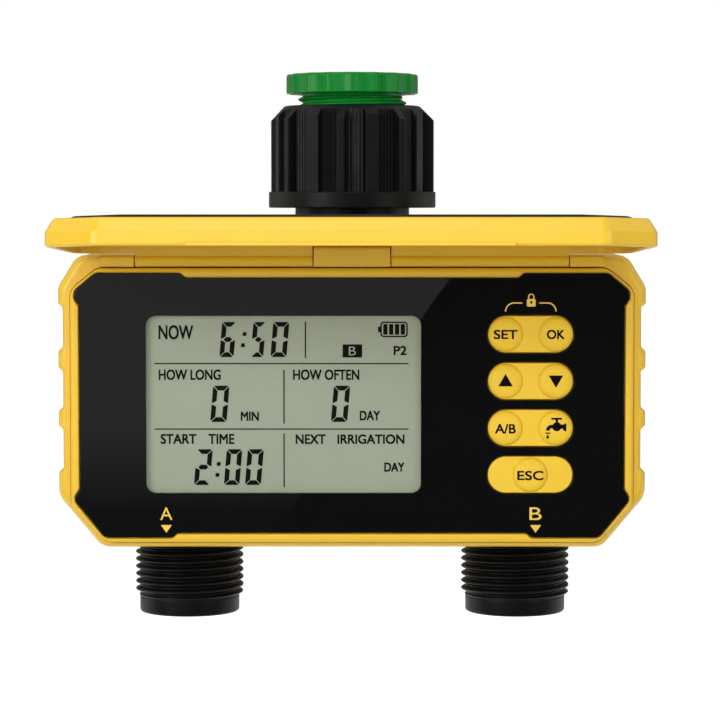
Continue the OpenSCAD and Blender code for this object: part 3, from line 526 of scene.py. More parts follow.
def moved(obj, matrix):
    obj.data.transform(matrix)
    return obj


def bar(low, high, edge=0.0, axis="z"):
    """A block between two corners in millimetres, with its edges along axis rounded."""
    a, b = Vector(low), Vector(high)
    u, v, h = {"x": (1, 2, 0), "y": (0, 2, 1), "z": (0, 1, 2)}[axis]
    outline = rectangle((b[u] - a[u]) / 2, (b[v] - a[v]) / 2, edge,
                        ((a[u] + b[u]) / 2, (a[v] + b[v]) / 2))
    return prism(outline, a[h], b[h], axis)


FINISHES = {}
SMOOTH_UP_TO = 38


def coated(obj, material):
    obj.data.materials.clear()
    obj.data.materials.append(FINISHES[material])


def finish(obj, material, body, stands_for=()):
    """Gives a piece its material, its shading and the body it rides on, and hides the CAD nodes
    that it stands for.
    """
    coated(obj, material)
    for face in obj.data.polygons:
        face.use_smooth = True
        face.material_index = 0
    obj.data.set_sharp_from_angle(angle=math.radians(SMOOTH_UP_TO))
    modifier(obj, "even_shading", "WEIGHTED_NORMAL", keep_sharp=True, weight=100)
    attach(obj, body)
    if stands_for:
        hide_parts(*stands_for)
    return obj


def named(obj, name):
    obj.name = name
    obj.data.name = name
    return obj


# ---------------------------------------------------------------- sizes shared by the pieces

shell_low, shell_high = span("rear_shell")
cover_low, cover_high = span("front_cover")
panel_low, panel_high = span("front_panel")
spigot_low, spigot_high = span("inlet_spigot")
nut_low, nut_high = span("inlet_nut")
board_low, board_high = span("main_board")
pins_low, pins_high = span("hinge_pins")

BODY_TOP, BODY_BOTTOM = -43.5, shell_low.z
BODY_H = BODY_TOP - BODY_BOTTOM
GRIP_PROUD = 1.1
SIDE = shell_high.x
SHELL_FRONT = -23.0
REAR = shell_high.y
REAR_INSIDE = REAR - 3.2
BEZEL_HALF, BEZEL_TOP, BEZEL_BOTTOM = cover_high.x, cover_high.z, cover_low.z
BEZEL_FRONT = cover_low.y
LOBE = 1.1
PANEL_HALF = panel_high.x - LOBE
PANEL_TOP, PANEL_BOTTOM = panel_high.z - LOBE, panel_low.z + LOBE
PANEL_FRONT, PANEL_BACK = panel_low.y, panel_high.y
PLATE_BACK = PANEL_BACK + 1.8
BOARD_FRONT, BOARD_BACK = board_low.y, board_high.y
# Where the front cover's screw posts meet those of the rear shell
POSTS_MEET = BOARD_BACK + 2.2
DROP_IN = 0.2
SHELL_CUT = (4.6, 7.6, 10.2, 12.2)
BEZEL_CUT = (6.5, 5.2, 8.3, 8.8)
PANEL_CUT = (5, 4.2, 7, 8.6)
LID_CUT = (5, 4.5, 11.5, 10)

HINGE_Y, HINGE_Z = (pins_low.y + pins_high.y) / 2, (pins_low.z + pins_high.z) / 2
BARREL_R = 1.35
KNUCKLE_HALF = 9.0
HINGE_SPAN = 51.4
PIN_END = pins_high.x
LUG_BOTTOM = BEZEL_TOP + 0.3

KEYPAD_X, PAD_W, PAD_H, PAD_PITCH = 42.2, 20.1, 8.7, 11.1
KEY_PITCH, KEY_R, KEY_DOME, KEY_GAP = 11.9, 4.1, 1.0, 0.02
PAD_FRONT = PANEL_FRONT + 0.1
MAT_BACK = PLATE_BACK + 1.2
PANEL_MID = (PANEL_TOP + PANEL_BOTTOM) / 2
ROW_Z = [PANEL_MID + 0.25 + (1.5 - i) * PAD_PITCH for i in range(4)]
# Each key's side of the keypad's middle and its row, from the top
KEY_PLACES = {name: (KEYPAD_X + side * KEY_PITCH / 2, ROW_Z[row]) for name, side, row in (
    ("set", -1, 0), ("ok", 1, 0), ("up", -1, 1), ("down", 1, 1), ("zone", -1, 2),
    ("manual", 1, 2), ("escape", 0, 3))}

OUTLET_X = 40.0
THREAD_R, THREAD_PITCH, THREAD_DEPTH = 13.22, 1.814, 1.16


# ---------------------------------------------------------------- housing


def shell_outline(inset=0.0, proud=GRIP_PROUD):
    """The case's outline, moved in by inset, with grip pads that stand proud of its sides."""
    def share(s):
        return BODY_TOP - s * BODY_H
    inner = SIDE - GRIP_PROUD - inset
    outer = inner + proud
    top, bottom, ramp = BODY_TOP - inset, BODY_BOTTOM + inset, 0.8
    right = [(outer - SHELL_CUT[0], top), (outer, top - SHELL_CUT[1]),
             (outer, share(0.167)), (inner, share(0.167) - ramp)]
    radii = [4, 4, 0.9, 0.9]
    for start, end in ((0.327, 0.386), (0.532, 0.584)):
        right += [(inner, share(start) + ramp), (outer, share(start)),
                  (outer, share(end)), (inner, share(end) - ramp)]
        radii += [0.9] * 4
    right += [(inner, share(0.742) + ramp), (outer, share(0.742)),
              (outer, bottom + SHELL_CUT[3]), (outer - SHELL_CUT[2], bottom)]
    radii += [0.9, 0.9, 5, 4]
    left = [(-x, z) for x, z in reversed(right)]
    return flat(right + left, radii + radii[::-1])


def bezel_outline():
    return octagon(BEZEL_HALF, BEZEL_TOP, BEZEL_BOTTOM, BEZEL_CUT)


def lug_section(top):
    """Section of a hinge block, rounded where the lid swings past it."""
    front, back = HINGE_Y - BARREL_R, SHELL_FRONT + 2
    return flat([(front, LUG_BOTTOM), (back, LUG_BOTTOM), (back, top), (front, top)],
                [0.5, 0, 0, 0.75])


def case_screw_places():
    x = BEZEL_HALF - 5.4
    return [(side * x, z) for side in (-1, 1) for z in (BEZEL_TOP - 8.5, BEZEL_BOTTOM + 11.8)]


def middle_and_half(name):
    """A node's middle and half its size as the display's side shows it: x, z, half x, half z."""
    low, high = span(name)
    return ((low.x + high.x) / 2, (low.z + high.z) / 2, (high.x - low.x) / 2, (high.z - low.z) / 2)


CELL_COVER = middle_and_half("battery_cover")
COVER_SCREW_X, COVER_SCREW_IN = 40.0, 2.8


def cover_screw_places():
    drop = CELL_COVER[3] - COVER_SCREW_IN
    return [(sx * COVER_SCREW_X, CELL_COVER[1] + sz * drop) for sx in (-1, 1) for sz in (-1, 1)]


def make_rear_shell():
    front_in, front_deep, rear_edge = 1.1, 3.2, 2.6
    rings = [(shell_outline(w, GRIP_PROUD * (1 - 0.8 * w / front_in)), SHELL_FRONT + h)
             for w, h in quarter(front_in, front_deep, 8)]
    rings += [(shell_outline(w, GRIP_PROUD * (1 - 0.9 * w / rear_edge)), REAR - h)
              for w, h in reversed(quarter(rear_edge, rear_edge, 6))]
    shell = stack("rear_shell_moulding", rings, "y")
    minus(shell, prism(grown(bezel_outline(), DROP_IN), SHELL_FRONT - 3, REAR_INSIDE))
    post_r, boss_r, pin_hole_r, inlet_hole_r, screw_hole_r = 4.3, 2.4, 0.7, 9.6, 1.2
    posts = [rod(post_r, POSTS_MEET, REAR_INSIDE + 0.5, place, steps=48)
             for place in case_screw_places()]
    bosses = [rod(boss_r, REAR_INSIDE - 6, REAR_INSIDE + 0.5, place)
              for place in cover_screw_places()]
    lugs = [prism(lug_section(BODY_TOP + 2), -KNUCKLE_HALF, KNUCKLE_HALF, "x")]
    lugs += [prism(lug_section(BODY_TOP - 0.02), *ends, "x")
             for ends in both_sides(HINGE_SPAN, PIN_END + 2)]
    plus(shell, *posts, *bosses, *lugs)
    recess_back = HINGE_Y + BARREL_R + 0.55
    cuts = [bar((left, HINGE_Y - 4, BEZEL_TOP), (right, recess_back, BODY_TOP + 3))
            for left, right in both_sides(KNUCKLE_HALF, HINGE_SPAN)]
    cuts.append(rod(pin_hole_r, -PIN_END, PIN_END, (HINGE_Y, HINGE_Z), "x"))
    cuts.append(rod(inlet_hole_r, BEZEL_TOP - 0.5, BODY_TOP + 1, axis="z", steps=96))
    for side in (-1, 1):
        cuts.append(turned("cutter", [(THREAD_R + 0.5, BODY_BOTTOM - 1),
                                      (THREAD_R + 0.5, BODY_BOTTOM),
                                      (THREAD_R + DROP_IN, BODY_BOTTOM + 0.3),
                                      (THREAD_R + DROP_IN, BODY_BOTTOM + 5)],
                           centre=(side * OUTLET_X, 0)))
    for place in case_screw_places():
        cuts.append(turned("cutter", [(1.65, POSTS_MEET - 1), (1.65, 0), (3.2, 0.01),
                                      (3.2, REAR - 0.4), (3.6, REAR), (3.6, REAR + 1)],
                           48, "y", place))
    x, z, half_x, half_z = CELL_COVER
    cuts.append(opening(rectangle(half_x + 0.3, half_z + 0.3, 3.3, (x, z)), REAR, -1.7, 0.35))
    cuts.append(bar((-half_x + 2.6, REAR_INSIDE - 1, z - half_z + 6.8),
                    (half_x - 2.6, REAR + 1, z + half_z - 6.8), 1.0, "y"))
    cuts += [rod(screw_hole_r, REAR_INSIDE - 5, REAR + 2, place)
             for place in cover_screw_places()]
    minus(shell, *cuts)
    finish(shell, "yellow_abs", "housing", stands_for=("rear_shell",))


def panel_outline(grow=0.0):
    """The black panel: an octagon whose four corners stand a little further out."""
    top, bottom = PANEL_TOP, PANEL_BOTTOM
    x_top, x_bottom = 0.63 * PANEL_HALF, 0.66 * PANEL_HALF
    out = PANEL_HALF + LOBE
    right = [(x_top - LOBE, top), (x_top, top + LOBE),
             (out - PANEL_CUT[0], top + LOBE), (out, top + LOBE - PANEL_CUT[1]),
             (out, top - 5), (PANEL_HALF, top - 6.6),
             (PANEL_HALF, bottom + 10.4), (out, bottom + 8.8),
             (out, bottom - LOBE + PANEL_CUT[3]), (out - PANEL_CUT[2], bottom - LOBE),
             (x_bottom, bottom - LOBE), (x_bottom - LOBE, bottom)]
    radii = [1.4, 1.4, 2.4, 2.4, 1.4, 1.4, 1.4, 1.4, 2.4, 2.4, 1.4, 1.4]
    left = [(-x, z) for x, z in reversed(right)]
    return grown(flat(right + left, radii + radii[::-1]), grow)


def pill(row, grow=0.0):
    return rectangle(PAD_W / 2 + grow, PAD_H / 2 + grow, PAD_H / 2 + grow - 0.02,
                     (KEYPAD_X, ROW_Z[row]), steps=14)


WINDOW = middle_and_half("display_window")


def window_outline(grow=0.0):
    x, z, half_x, half_z = WINDOW
    return rectangle(half_x + grow, half_z + grow, 2.3 + grow, (x, z), steps=8)


def make_front_cover():
    outline = bezel_outline()
    cover = plate("front_cover_moulding", outline, BEZEL_FRONT, PLATE_BACK, low_edge=1.0,
                  high_edge=0.2, steps=5)
    start, skirt_in, skirt_wall = PLATE_BACK - 0.3, 1.2, 1.6
    post_r, post_hole_r, board_post_r, board_hole_r = 3.2, 1.25, 1.8, 0.8
    skirt = prism(grown(outline, -skirt_in), start, BOARD_BACK)
    minus(skirt, prism(grown(outline, -skirt_in - skirt_wall), PLATE_BACK - 1, BOARD_BACK + 1))
    posts = [rod(post_r, start, POSTS_MEET, place, steps=48) for place in case_screw_places()]
    board_x = board_high.x - 1.9
    board_corners = [(side * board_x, z) for side in (-1, 1)
                     for z in (board_high.z - 2, board_low.z + 2)]
    posts += [rod(board_post_r, start, BOARD_FRONT, place) for place in board_corners]
    plus(cover, skirt, *posts)
    cuts = [opening(panel_outline(DROP_IN), BEZEL_FRONT, PANEL_BACK - BEZEL_FRONT, 0.35)]
    lcd = span("lcd_glass")
    cuts.append(bar((lcd[0].x - 0.2, PANEL_BACK - 1, lcd[0].z - 0.2),
                    (lcd[1].x + 0.2, PLATE_BACK + 1, lcd[1].z + 0.2)))
    cuts += [prism(pill(row, DROP_IN), PANEL_BACK - 1, PLATE_BACK + 1) for row in range(4)]
    cuts += [rod(post_hole_r, PLATE_BACK + 1.5, BOARD_BACK + 5, place)
             for place in case_screw_places()]
    cuts += [rod(board_hole_r, PLATE_BACK + 0.6, BOARD_BACK, place, steps=24)
             for place in board_corners]
    minus(cover, *cuts)
    finish(cover, "yellow_abs", "housing", stands_for=("front_cover",))


def make_front_panel():
    panel = plate("front_panel_sheet", panel_outline(), PANEL_FRONT, PANEL_BACK,
                  low_edge=0.18, high_edge=0.05, steps=3)
    minus(panel, opening(window_outline(), PANEL_FRONT, PANEL_BACK - PANEL_FRONT + 1, 0.12),
          *[opening(pill(row, DROP_IN), PANEL_FRONT, PANEL_BACK - PANEL_FRONT + 1, 0.12)
            for row in range(4)])
    finish(panel, "black_acrylic", "housing", stands_for=("front_panel",))
    window = plate("display_window_sheet", window_outline(), PANEL_FRONT, PANEL_BACK,
                   low_edge=0.1, high_edge=0.05, steps=2)
    finish(window, "clear_acrylic", "housing", stands_for=("display_window",))


# ---------------------------------------------------------------- keys


def dome_height(r):
    """A key cap's crown: a low dome with a steep shoulder round its rim."""
    share = r / KEY_R
    return KEY_DOME * (1 - 0.2 * share ** 2) * max(0.0, 1 - share ** 7) ** 0.8


def crown(offset, steps=18):
    """Points of the crown from its middle to its rim, moved out by offset along Y."""
    radii = [KEY_R * math.sin(math.pi / 2 * k / steps) for k in range(steps + 1)]
    return [(max(r, 0.001), PAD_FRONT - dome_height(r) - offset) for r in radii]


def ink_on_cap(name, marks, centre, body):
    """Printed marks that follow a key cap's crown; marks are upright prisms."""
    outer = crown(0.025)
    inner = [(r, h + 0.06) for r, h in outer]
    limit = KEY_R * 0.97
    outer = [p for p in outer if p[0] <= limit]
    inner = [p for p in inner if p[0] <= limit]
    skin = turned("skin", outer + inner[::-1], 96, "y", centre)
    piece = marks[0]
    if len(marks) > 1:
        plus(piece, *marks[1:])
    combine(piece, "INTERSECT", [skin])
    named(piece, name)
    finish(piece, "key_ink", body)


def letters(text, centre, width, height, low, high):
    """Plain sans letters as an upright solid that fills a width and height, in millimetres,
    between two planes along Y."""
    curve = bpy.data.curves.new("letters", "FONT")
    curve.body = text
    curve.resolution_u = 6
    curve.extrude = 0.5
    obj = shown("letters", curve)
    graph = bpy.context.evaluated_depsgraph_get()
    mesh = bpy.data.meshes.new_from_object(obj.evaluated_get(graph))
    bpy.data.objects.remove(obj)
    (left, right), (foot, head) = [(min(v.co[i] for v in mesh.vertices),
                                    max(v.co[i] for v in mesh.vertices)) for i in (0, 1)]
    for v in mesh.vertices:
        x = centre[0] + ((v.co.x - left) / (right - left) - 0.5) * width
        z = centre[1] + ((v.co.y - foot) / (head - foot) - 0.5) * height
        y = low if v.co.z > 0 else high
        v.co = Vector((x, y, z)) * MM
    return shown("letters", cleaned(mesh, 1e-8))


def bold(text, centre, width, height, low, high, by=0.07):
    """Letters with a heavier stroke: copies moved by a hair each way and joined."""
    copies = [letters(text, (centre[0] + u * by, centre[1] + v * by), width - 2 * by,
                      height - 2 * by, low, high)
              for u, v in ((-1, -1), (1, -1), (1, 1), (-1, 1), (0, 0))]
    return plus(copies[0], *copies[1:])


def mark(corners, low, high, radius=0.0, centre=(0, 0)):
    """A flat printed shape, between two planes along Y."""
    outline = flat([(u + centre[0], v + centre[1]) for u, v in corners], radius)
    return prism(outline, low, high)


def slab(x0, x1, z0, z1, low, high, radius=0.0, centre=(0, 0)):
    """A printed rectangle."""
    return mark([(x0, z0), (x1, z0), (x1, z1), (x0, z1)], low, high, radius, centre)


def strip(points, width, low, high, centre=(0, 0)):
    """A printed line of even width through points."""
    path = [Vector(p) + Vector(centre) for p in points]
    left, right = [], []
    for i, here in enumerate(path):
        ahead = (path[min(i + 1, len(path) - 1)] - path[max(i - 1, 0)]).normalized()
        across = Vector((-ahead.y, ahead.x)) * width / 2
        left.append(here + across)
        right.append(here - across)
    return prism(flat(left + right[::-1]), low, high)


def arc(centre, radius, start, end, steps=12):
    """Points of an arc, angles in degrees."""
    return [(centre[0] + radius * math.cos(math.radians(start + (end - start) * k / steps)),
             centre[1] + radius * math.sin(math.radians(start + (end - start) * k / steps)))
            for k in range(steps + 1)]


def tap_sign(low, high, centre):
    """Sign for watering by hand: a garden tap with a drop under its spout."""
    return [slab(-1.1, 1.5, 2.05, 2.5, low, high, 0.18, centre),
            slab(-0.05, 0.5, 1.2, 2.2, low, high, 0.0, centre),
            rod(1.08, low, high, (centre[0] + 0.24, centre[1] + 0.4)),
            slab(1.0, 1.8, -0.1, 0.9, low, high, 0.0, centre),
            mark([(1.75, -0.45), (2.5, -0.8), (2.5, 1.3), (1.75, 0.9)], low, high, 0.15, centre),
            strip([(0.0, 0.45), (-0.9, 0.45)] + arc((-0.9, -0.55), 1.0, 90, 180, 10)[1:],
                  0.8, low, high, centre),
            slab(-2.45, -1.3, -1.3, -0.98, low, high, 0.1, centre),
            mark([(-1.9, -1.4), (-2.28, -2.15), (-1.9, -2.6), (-1.52, -2.15)], low, high,
                 [0, 0.3, 0.3, 0.3], centre)]


def make_keys():
    low, high = PAD_FRONT - 3, PAD_FRONT + 0.5
    stem_end = span("button_set")[1].y
    up = [(-1.7, -1.15), (1.7, -1.15), (0, 1.8)]
    down = [(-1.7, 1.4), (1.7, 1.4), (0, -1.5)]
    legends = {
        "set": lambda c: [bold("SET", c, 5.6, 2.2, low, high)],
        "ok": lambda c: [bold("OK", (c[0] - 0.1, c[1]), 4.2, 2.2, low, high)],
        "up": lambda c: [mark(up, low, high, 0.0, c)],
        "down": lambda c: [mark(down, low, high, 0.0, c)],
        "zone": lambda c: [bold("A/B", (c[0], c[1] - 0.1), 4.9, 2.3, low, high)],
        "manual": lambda c: tap_sign(low, high, c),
        "escape": lambda c: [bold("ESC", (c[0], c[1] - 0.1), 6.2, 2.25, low, high)],
    }
    for name, centre in KEY_PLACES.items():
        profile = crown(0.0) + [(KEY_R, MAT_BACK), (2.5, MAT_BACK + 0.01), (2.5, stem_end)]
        cap = turned("button_" + name + "_cap", profile, 96, "y", centre)
        finish(cap, "yellow_silicone", "button_" + name, stands_for=("button_" + name,))
        ink_on_cap("button_" + name + "_print", legends[name](centre), centre,
                   "button_" + name)


def make_keypad_mat():
    half_w = PAD_W / 2 + 0.6
    half_h = (3 * PAD_PITCH + PAD_H) / 2 + 0.6
    middle = (ROW_Z[0] + ROW_Z[3]) / 2
    mat = plate("keypad_mat_moulding", rectangle(half_w, half_h, 1.0, (KEYPAD_X, middle)),
                PLATE_BACK, MAT_BACK, low_edge=0.1, high_edge=0.1, steps=2)
    pads = [plate("pad", pill(row), PAD_FRONT, PLATE_BACK + 0.3, low_edge=0.35,
                  high_edge=0.02, steps=4) for row in range(4)]
    plus(mat, *pads)
    minus(mat, *[rod(KEY_R + KEY_GAP, PAD_FRONT - 1, MAT_BACK + 1, place, steps=96)
                 for place in KEY_PLACES.values()])
    finish(mat, "yellow_silicone", "housing", stands_for=("keypad_mat",))


# ---------------------------------------------------------------- panel print and display


def make_panel_print():
    low, high = PANEL_FRONT - 0.03, PANEL_FRONT + 0.1
    lock_x = KEYPAD_X + 0.1
    body = slab(-1.04, 1.04, -0.9, 0.9, low, high, 0.3, (lock_x, -54.7))
    minus(body, rod(0.3, low - 1, high + 1, (lock_x, -54.62)))
    shackle = strip([(-0.62, -54.2)] + arc((0, -53.3), 0.62, 180, 0, 14) + [(0.62, -54.2)],
                    0.28, low, high, (lock_x, 0))
    pieces = [body, shackle]
    for side in (-1, 1):
        start, end = (90, 180) if side < 0 else (90, 0)
        bend = arc((side * (KEY_PITCH / 2 - 2.0), -56.75), 2.0, start, end, 12)
        pieces.append(strip([(side * 2.0, -54.75)] + bend, 0.3, low, high, (KEYPAD_X, 0)))
    print_piece = plus(pieces[0], *pieces[1:])
    named(print_piece, "panel_print_lock")
    finish(print_piece, "panel_ink", "housing")
    for text, x in (("A", -44.0), ("B", 43.5)):
        sign = letters(text, (x, -104.7), 2.9, 3.0, low, high)
        arrow = mark([(-1.3, 0.9), (1.3, 0.9), (0, -0.95)], low, high, 0.0, (x, -108.3))
        gather(sign, arrow)
        named(sign, "panel_print_" + text.lower())
        finish(sign, "panel_ink", "housing")


SEGMENTS = {"0": "abcdef", "1": "bc", "2": "abged", "3": "abgcd", "4": "fgbc", "5": "afgcd",
            "6": "afgedc", "7": "abc", "8": "abcdefg", "9": "abcdfg"}


def digit(value, centre, width, height, stroke, low, high, slant=0.0):
    """A seven-segment digit with mitred segments and thin gaps."""
    w, h, s, gap = width / 2, height / 2, stroke, 0.12
    shapes = {
        "a": [(-w + gap, h), (w - gap, h), (w - s - gap, h - s), (-w + s + gap, h - s)],
        "d": [(-w + gap, -h), (w - gap, -h), (w - s - gap, -h + s), (-w + s + gap, -h + s)],
        "f": [(-w, h - gap), (-w + s, h - s - gap), (-w + s, s / 2 + gap), (-w, gap)],
        "b": [(w, h - gap), (w - s, h - s - gap), (w - s, s / 2 + gap), (w, gap)],
        "e": [(-w, -h + gap), (-w + s, -h + s + gap), (-w + s, -s / 2 - gap), (-w, -gap)],
        "c": [(w, -h + gap), (w - s, -h + s + gap), (w - s, -s / 2 - gap), (w, -gap)],
        "g": [(-w + s / 2 + gap, 0), (-w + s + gap, s / 2), (w - s - gap, s / 2),
              (w - s / 2 - gap, 0), (w - s - gap, -s / 2), (-w + s + gap, -s / 2)],
    }
    return [mark([(u + slant * v, v) for u, v in shapes[key]], low, high, 0.14, centre)
            for key in SEGMENTS[value]]


def make_display():
    glass = span("lcd_glass")[0].y
    low, high = glass - 0.04, glass + 0.02
    pieces = []

    def word(text, x0, x1, z0, z1):
        pieces.append(bold(text, ((x0 + x1) / 2, (z0 + z1) / 2), x1 - x0 + 0.1, z1 - z0 + 0.1,
                           low, high, 0.075))

    def block(x0, x1, z0, z1):
        pieces.append(slab(x0, x1, z0, z1, low, high))

    def digits(values, z0, z1, stroke=1.12, slant=0.085):
        for value, x0, x1 in values:
            pieces.extend(digit(value, ((x0 + x1) / 2, (z0 + z1) / 2),
                                x1 - x0 - slant * (z1 - z0), z1 - z0, stroke, low, high, slant))

    def colon(*places):
        for x, z in places:
            pieces.append(mark([(x - 0.5, z - 0.45), (x + 0.42, z - 0.45), (x + 0.5, z + 0.45),
                                (x - 0.42, z + 0.45)], low, high))

    word("NOW", -45.7, -37.6, -63.4, -60.1)
    digits([("6", -31.4, -27.3), ("5", -24.0, -20.3), ("0", -19.3, -14.8)], -67.6, -59.3)
    colon((-25.4, -62.15), (-25.8, -64.8))
    for x, z0, z1 in ((-11.0, -67.8, -59.2), (-16.1, -83.4, -70.6), (-16.1, -98.5, -85.7)):
        block(x - 0.15, x + 0.15, z0, z1)
    for z in (-69.15, -84.7):
        block(-46.8, 13.4, z - 0.14, z + 0.14)
    # Battery sign: a case with its contact and four bars
    case = slab(6.7, 13.2, -62.9, -59.2, low, high, 0.8)
    minus(case, slab(7.05, 12.85, -62.55, -59.55, low - 1, high + 1, 0.5))
    pieces.append(case)
    block(6.15, 6.75, -61.7, -60.4)
    for i in range(4):
        block(7.4 + 1.38 * i, 8.4 + 1.38 * i, -62.3, -59.8)
    # Zone sign: a dark block with its letter left clear
    zone = slab(-2.2, 2.4, -67.7, -64.6, low, high)
    minus(zone, letters("B", (0.1, -66.15), 1.7, 2.1, low - 1, high + 1))
    pieces.append(zone)
    word("P2", 9.9, 12.9, -67.1, -65.0)
    word("HOW LONG", -45.7, -31.1, -73.0, -70.6)
    word("HOW OFTEN", -13.9, 1.7, -73.0, -70.6)
    digits([("0", -33.6, -29.0), ("0", -5.0, -0.4)], -83.0, -74.4)
    for text, *box in (("MIN", -26.3, -22.1, -82.7, -80.6), ("DAY", 1.9, 6.6, -82.6, -80.4),
                       ("START", -45.3, -36.9, -88.2, -85.9), ("TIME", -34.0, -27.9, -88.2, -85.9),
                       ("NEXT", -13.3, -6.3, -88.2, -86.0),
                       ("IRRIGATION", -3.4, 12.4, -88.2, -86.0)):
        word(text, *box)
    digits([("2", -37.5, -33.0), ("0", -30.4, -26.0), ("0", -25.4, -20.9)], -98.0, -89.5)
    colon((-31.6, -93.0), (-31.9, -95.6))
    word("DAY", 7.7, 12.4, -94.8, -92.7)
    segments = gather(pieces[0], *pieces[1:])
    named(segments, "display_segments")
    finish(segments, "lcd_ink", "housing")


# ---------------------------------------------------------------- lid

LID_TILT = 2.5
LID_HALF = span("lid_frame")[1].x
LID_REACH = 68.05
LID_BACK = 1.5
LID_UNDER = 1.715
LID_TOP = LID_UNDER + 6.2
LID_SKIN, LID_RIM = 2.0, 2.2
LIP_HALF = 35.0
INSERT_INSET, INSERT_DEEP = 4.9, 0.8
PIN_HOLE_R = 0.78


def open_lid(obj):
    """Takes a lid piece drawn level, with its hinge along X, to its open rest."""
    turn = Matrix.Rotation(math.radians(-LID_TILT), 4, "X")
    return moved(obj, Matrix.Translation(Vector((0, HINGE_Y, HINGE_Z)) * MM) @ turn)


def lid_outline(inset=0.0, radius=4.0):
    return octagon(LID_HALF - inset, LID_BACK - inset, -LID_REACH + inset, LID_CUT, radius)


def make_lid():
    outline = lid_outline()
    rings = [(grown(outline, -w), LID_UNDER + h) for w, h in quarter(0.5, 0.7, 4)]
    bevel_h, bevel_w = 3.0, 1.8
    # The sloped shoulder meets the side and the top in small curves
    for k in range(4):
        a = k / 3 * math.atan2(bevel_w, bevel_h)
        rings.append((grown(outline, -0.9 * (1 - math.cos(a))),
                      LID_TOP - bevel_h - 0.25 + 0.9 * math.sin(a)))
    rings += [(grown(outline, -bevel_w + 0.25), LID_TOP - 0.42),
              (grown(outline, -bevel_w + 0.02), LID_TOP - 0.16),
              (grown(outline, -bevel_w - 0.35), LID_TOP)]
    lid = stack("lid_frame_moulding", rings, "z")
    lip = stack("lip", [(rectangle(LIP_HALF - 0.1, 1.0 - w, 0.3, (0, -LID_REACH + 0.4)),
                         LID_UNDER + h) for w, h in ((0.15, 0), (0, 0.15), (0, 0.7), (0.2, 0.9))],
                "z")
    barrels = []
    for left, right in both_sides(KNUCKLE_HALF + 0.3, HINGE_SPAN - 0.3):
        barrels.append(rod(BARREL_R, left, right, axis="x", steps=40))
        barrels.append(bar((left, -0.7, 0), (right, BARREL_R, LID_UNDER + 0.5)))
    hollow = plate("cutter", lid_outline(LID_RIM, 3.0), LID_UNDER - 1, LID_TOP - LID_SKIN, "z",
                   0.0, 0.6)
    minus(lid, hollow)
    plus(lid, lip, *barrels)
    minus(lid, bar((-KNUCKLE_HALF - 0.3, -5, LID_UNDER - 1),
                   (KNUCKLE_HALF + 0.3, 3, LID_TOP - LID_SKIN)),
          opening(insert_outline(DROP_IN), LID_TOP, -INSERT_DEEP, 0.25, "z"),
          rod(PIN_HOLE_R, -LID_HALF - 2, LID_HALF + 2, axis="x"))
    open_lid(lid)
    finish(lid, "yellow_abs", "lid", stands_for=("lid_frame",))


def insert_outline(grow=0.0):
    return grown(lid_outline(INSERT_INSET), grow)


def make_lid_insert():
    outline = insert_outline()
    low, top = LID_TOP - INSERT_DEEP, LID_TOP + 0.7
    rings = [(grown(outline, -0.1), low), (outline, low + 0.1)]
    rings += [(grown(outline, -w), top - h) for w, h in reversed(quarter(1.5, 0.7, 6))]
    insert = stack("lid_insert_plate", rings, "z")
    open_lid(insert)
    finish(insert, "black_nylon", "lid", stands_for=("lid_insert",))


# ---------------------------------------------------------------- threads, nut and adapter

# Height of a rounded thread over one pitch, as shares of the pitch and of the depth
THREAD_FORM = [(0.0, 0.0), (0.08, 0.04), (0.17, 0.24), (0.27, 0.6), (0.37, 0.89), (0.44, 0.975),
               (0.5, 1.0), (0.56, 0.975), (0.63, 0.89), (0.73, 0.6), (0.83, 0.24), (0.92, 0.04)]


def threaded(name, top, bottom, phase, centre=(0, 0), steps=120):
    """A right-hand G 3/4 male thread between two levels that runs out at both ends."""
    crest, pitch, depth = THREAD_R, THREAD_PITCH, THREAD_DEPTH
    root = crest - depth
    turns = int(math.ceil((top - bottom) / pitch)) + 3
    forms = [(k + share, rise) for k in range(turns) for share, rise in THREAD_FORM]
    rings = []
    for height_in_turns, rise in forms:
        ring = []
        for k in range(steps + 1):
            a = 2 * math.pi * k / steps
            z = bottom - 1.5 * pitch + pitch * (height_in_turns + k / steps)
            clamped = min(top, max(bottom, z))
            fade = min(1.0, max(0.0, (top - z) / (0.45 * pitch))) \
                * min(1.0, max(0.0, (z - bottom) / (0.7 * pitch)))
            fade = fade * fade * (3 - 2 * fade)
            r = root + depth * rise * fade
            ring.append((centre[0] + r * math.cos(a + phase), centre[1] + r * math.sin(a + phase),
                         clamped))
        rings.append(ring)
    points, faces = [], []
    for ring in rings:
        points += ring
    row = steps + 1
    for r in range(len(rings) - 1):
        for k in range(steps):
            faces.append((r * row + k, r * row + k + 1, (r + 1) * row + k + 1, (r + 1) * row + k))
    thread = solid(name, points, faces)
    cleaned(thread.data, 2e-7, fill=True)
    return thread


def edge_profile(points, radius, steps=3):
    """A turned profile with its inner corners rounded."""
    out = [points[0]]
    for before, here, after in zip(points, points[1:], points[2:]):
        p, a, b = Vector(here), Vector(before), Vector(after)
        back, ahead = a - p, b - p
        reach = min(radius, 0.45 * back.length, 0.45 * ahead.length)
        start, end = p + back.normalized() * reach, p + ahead.normalized() * reach
        for k in range(steps + 1):
            t = k / steps
            q = start * (1 - t) ** 2 + p * 2 * t * (1 - t) + end * t * t
            out.append((q.x, q.y))
    return out + [points[-1]]


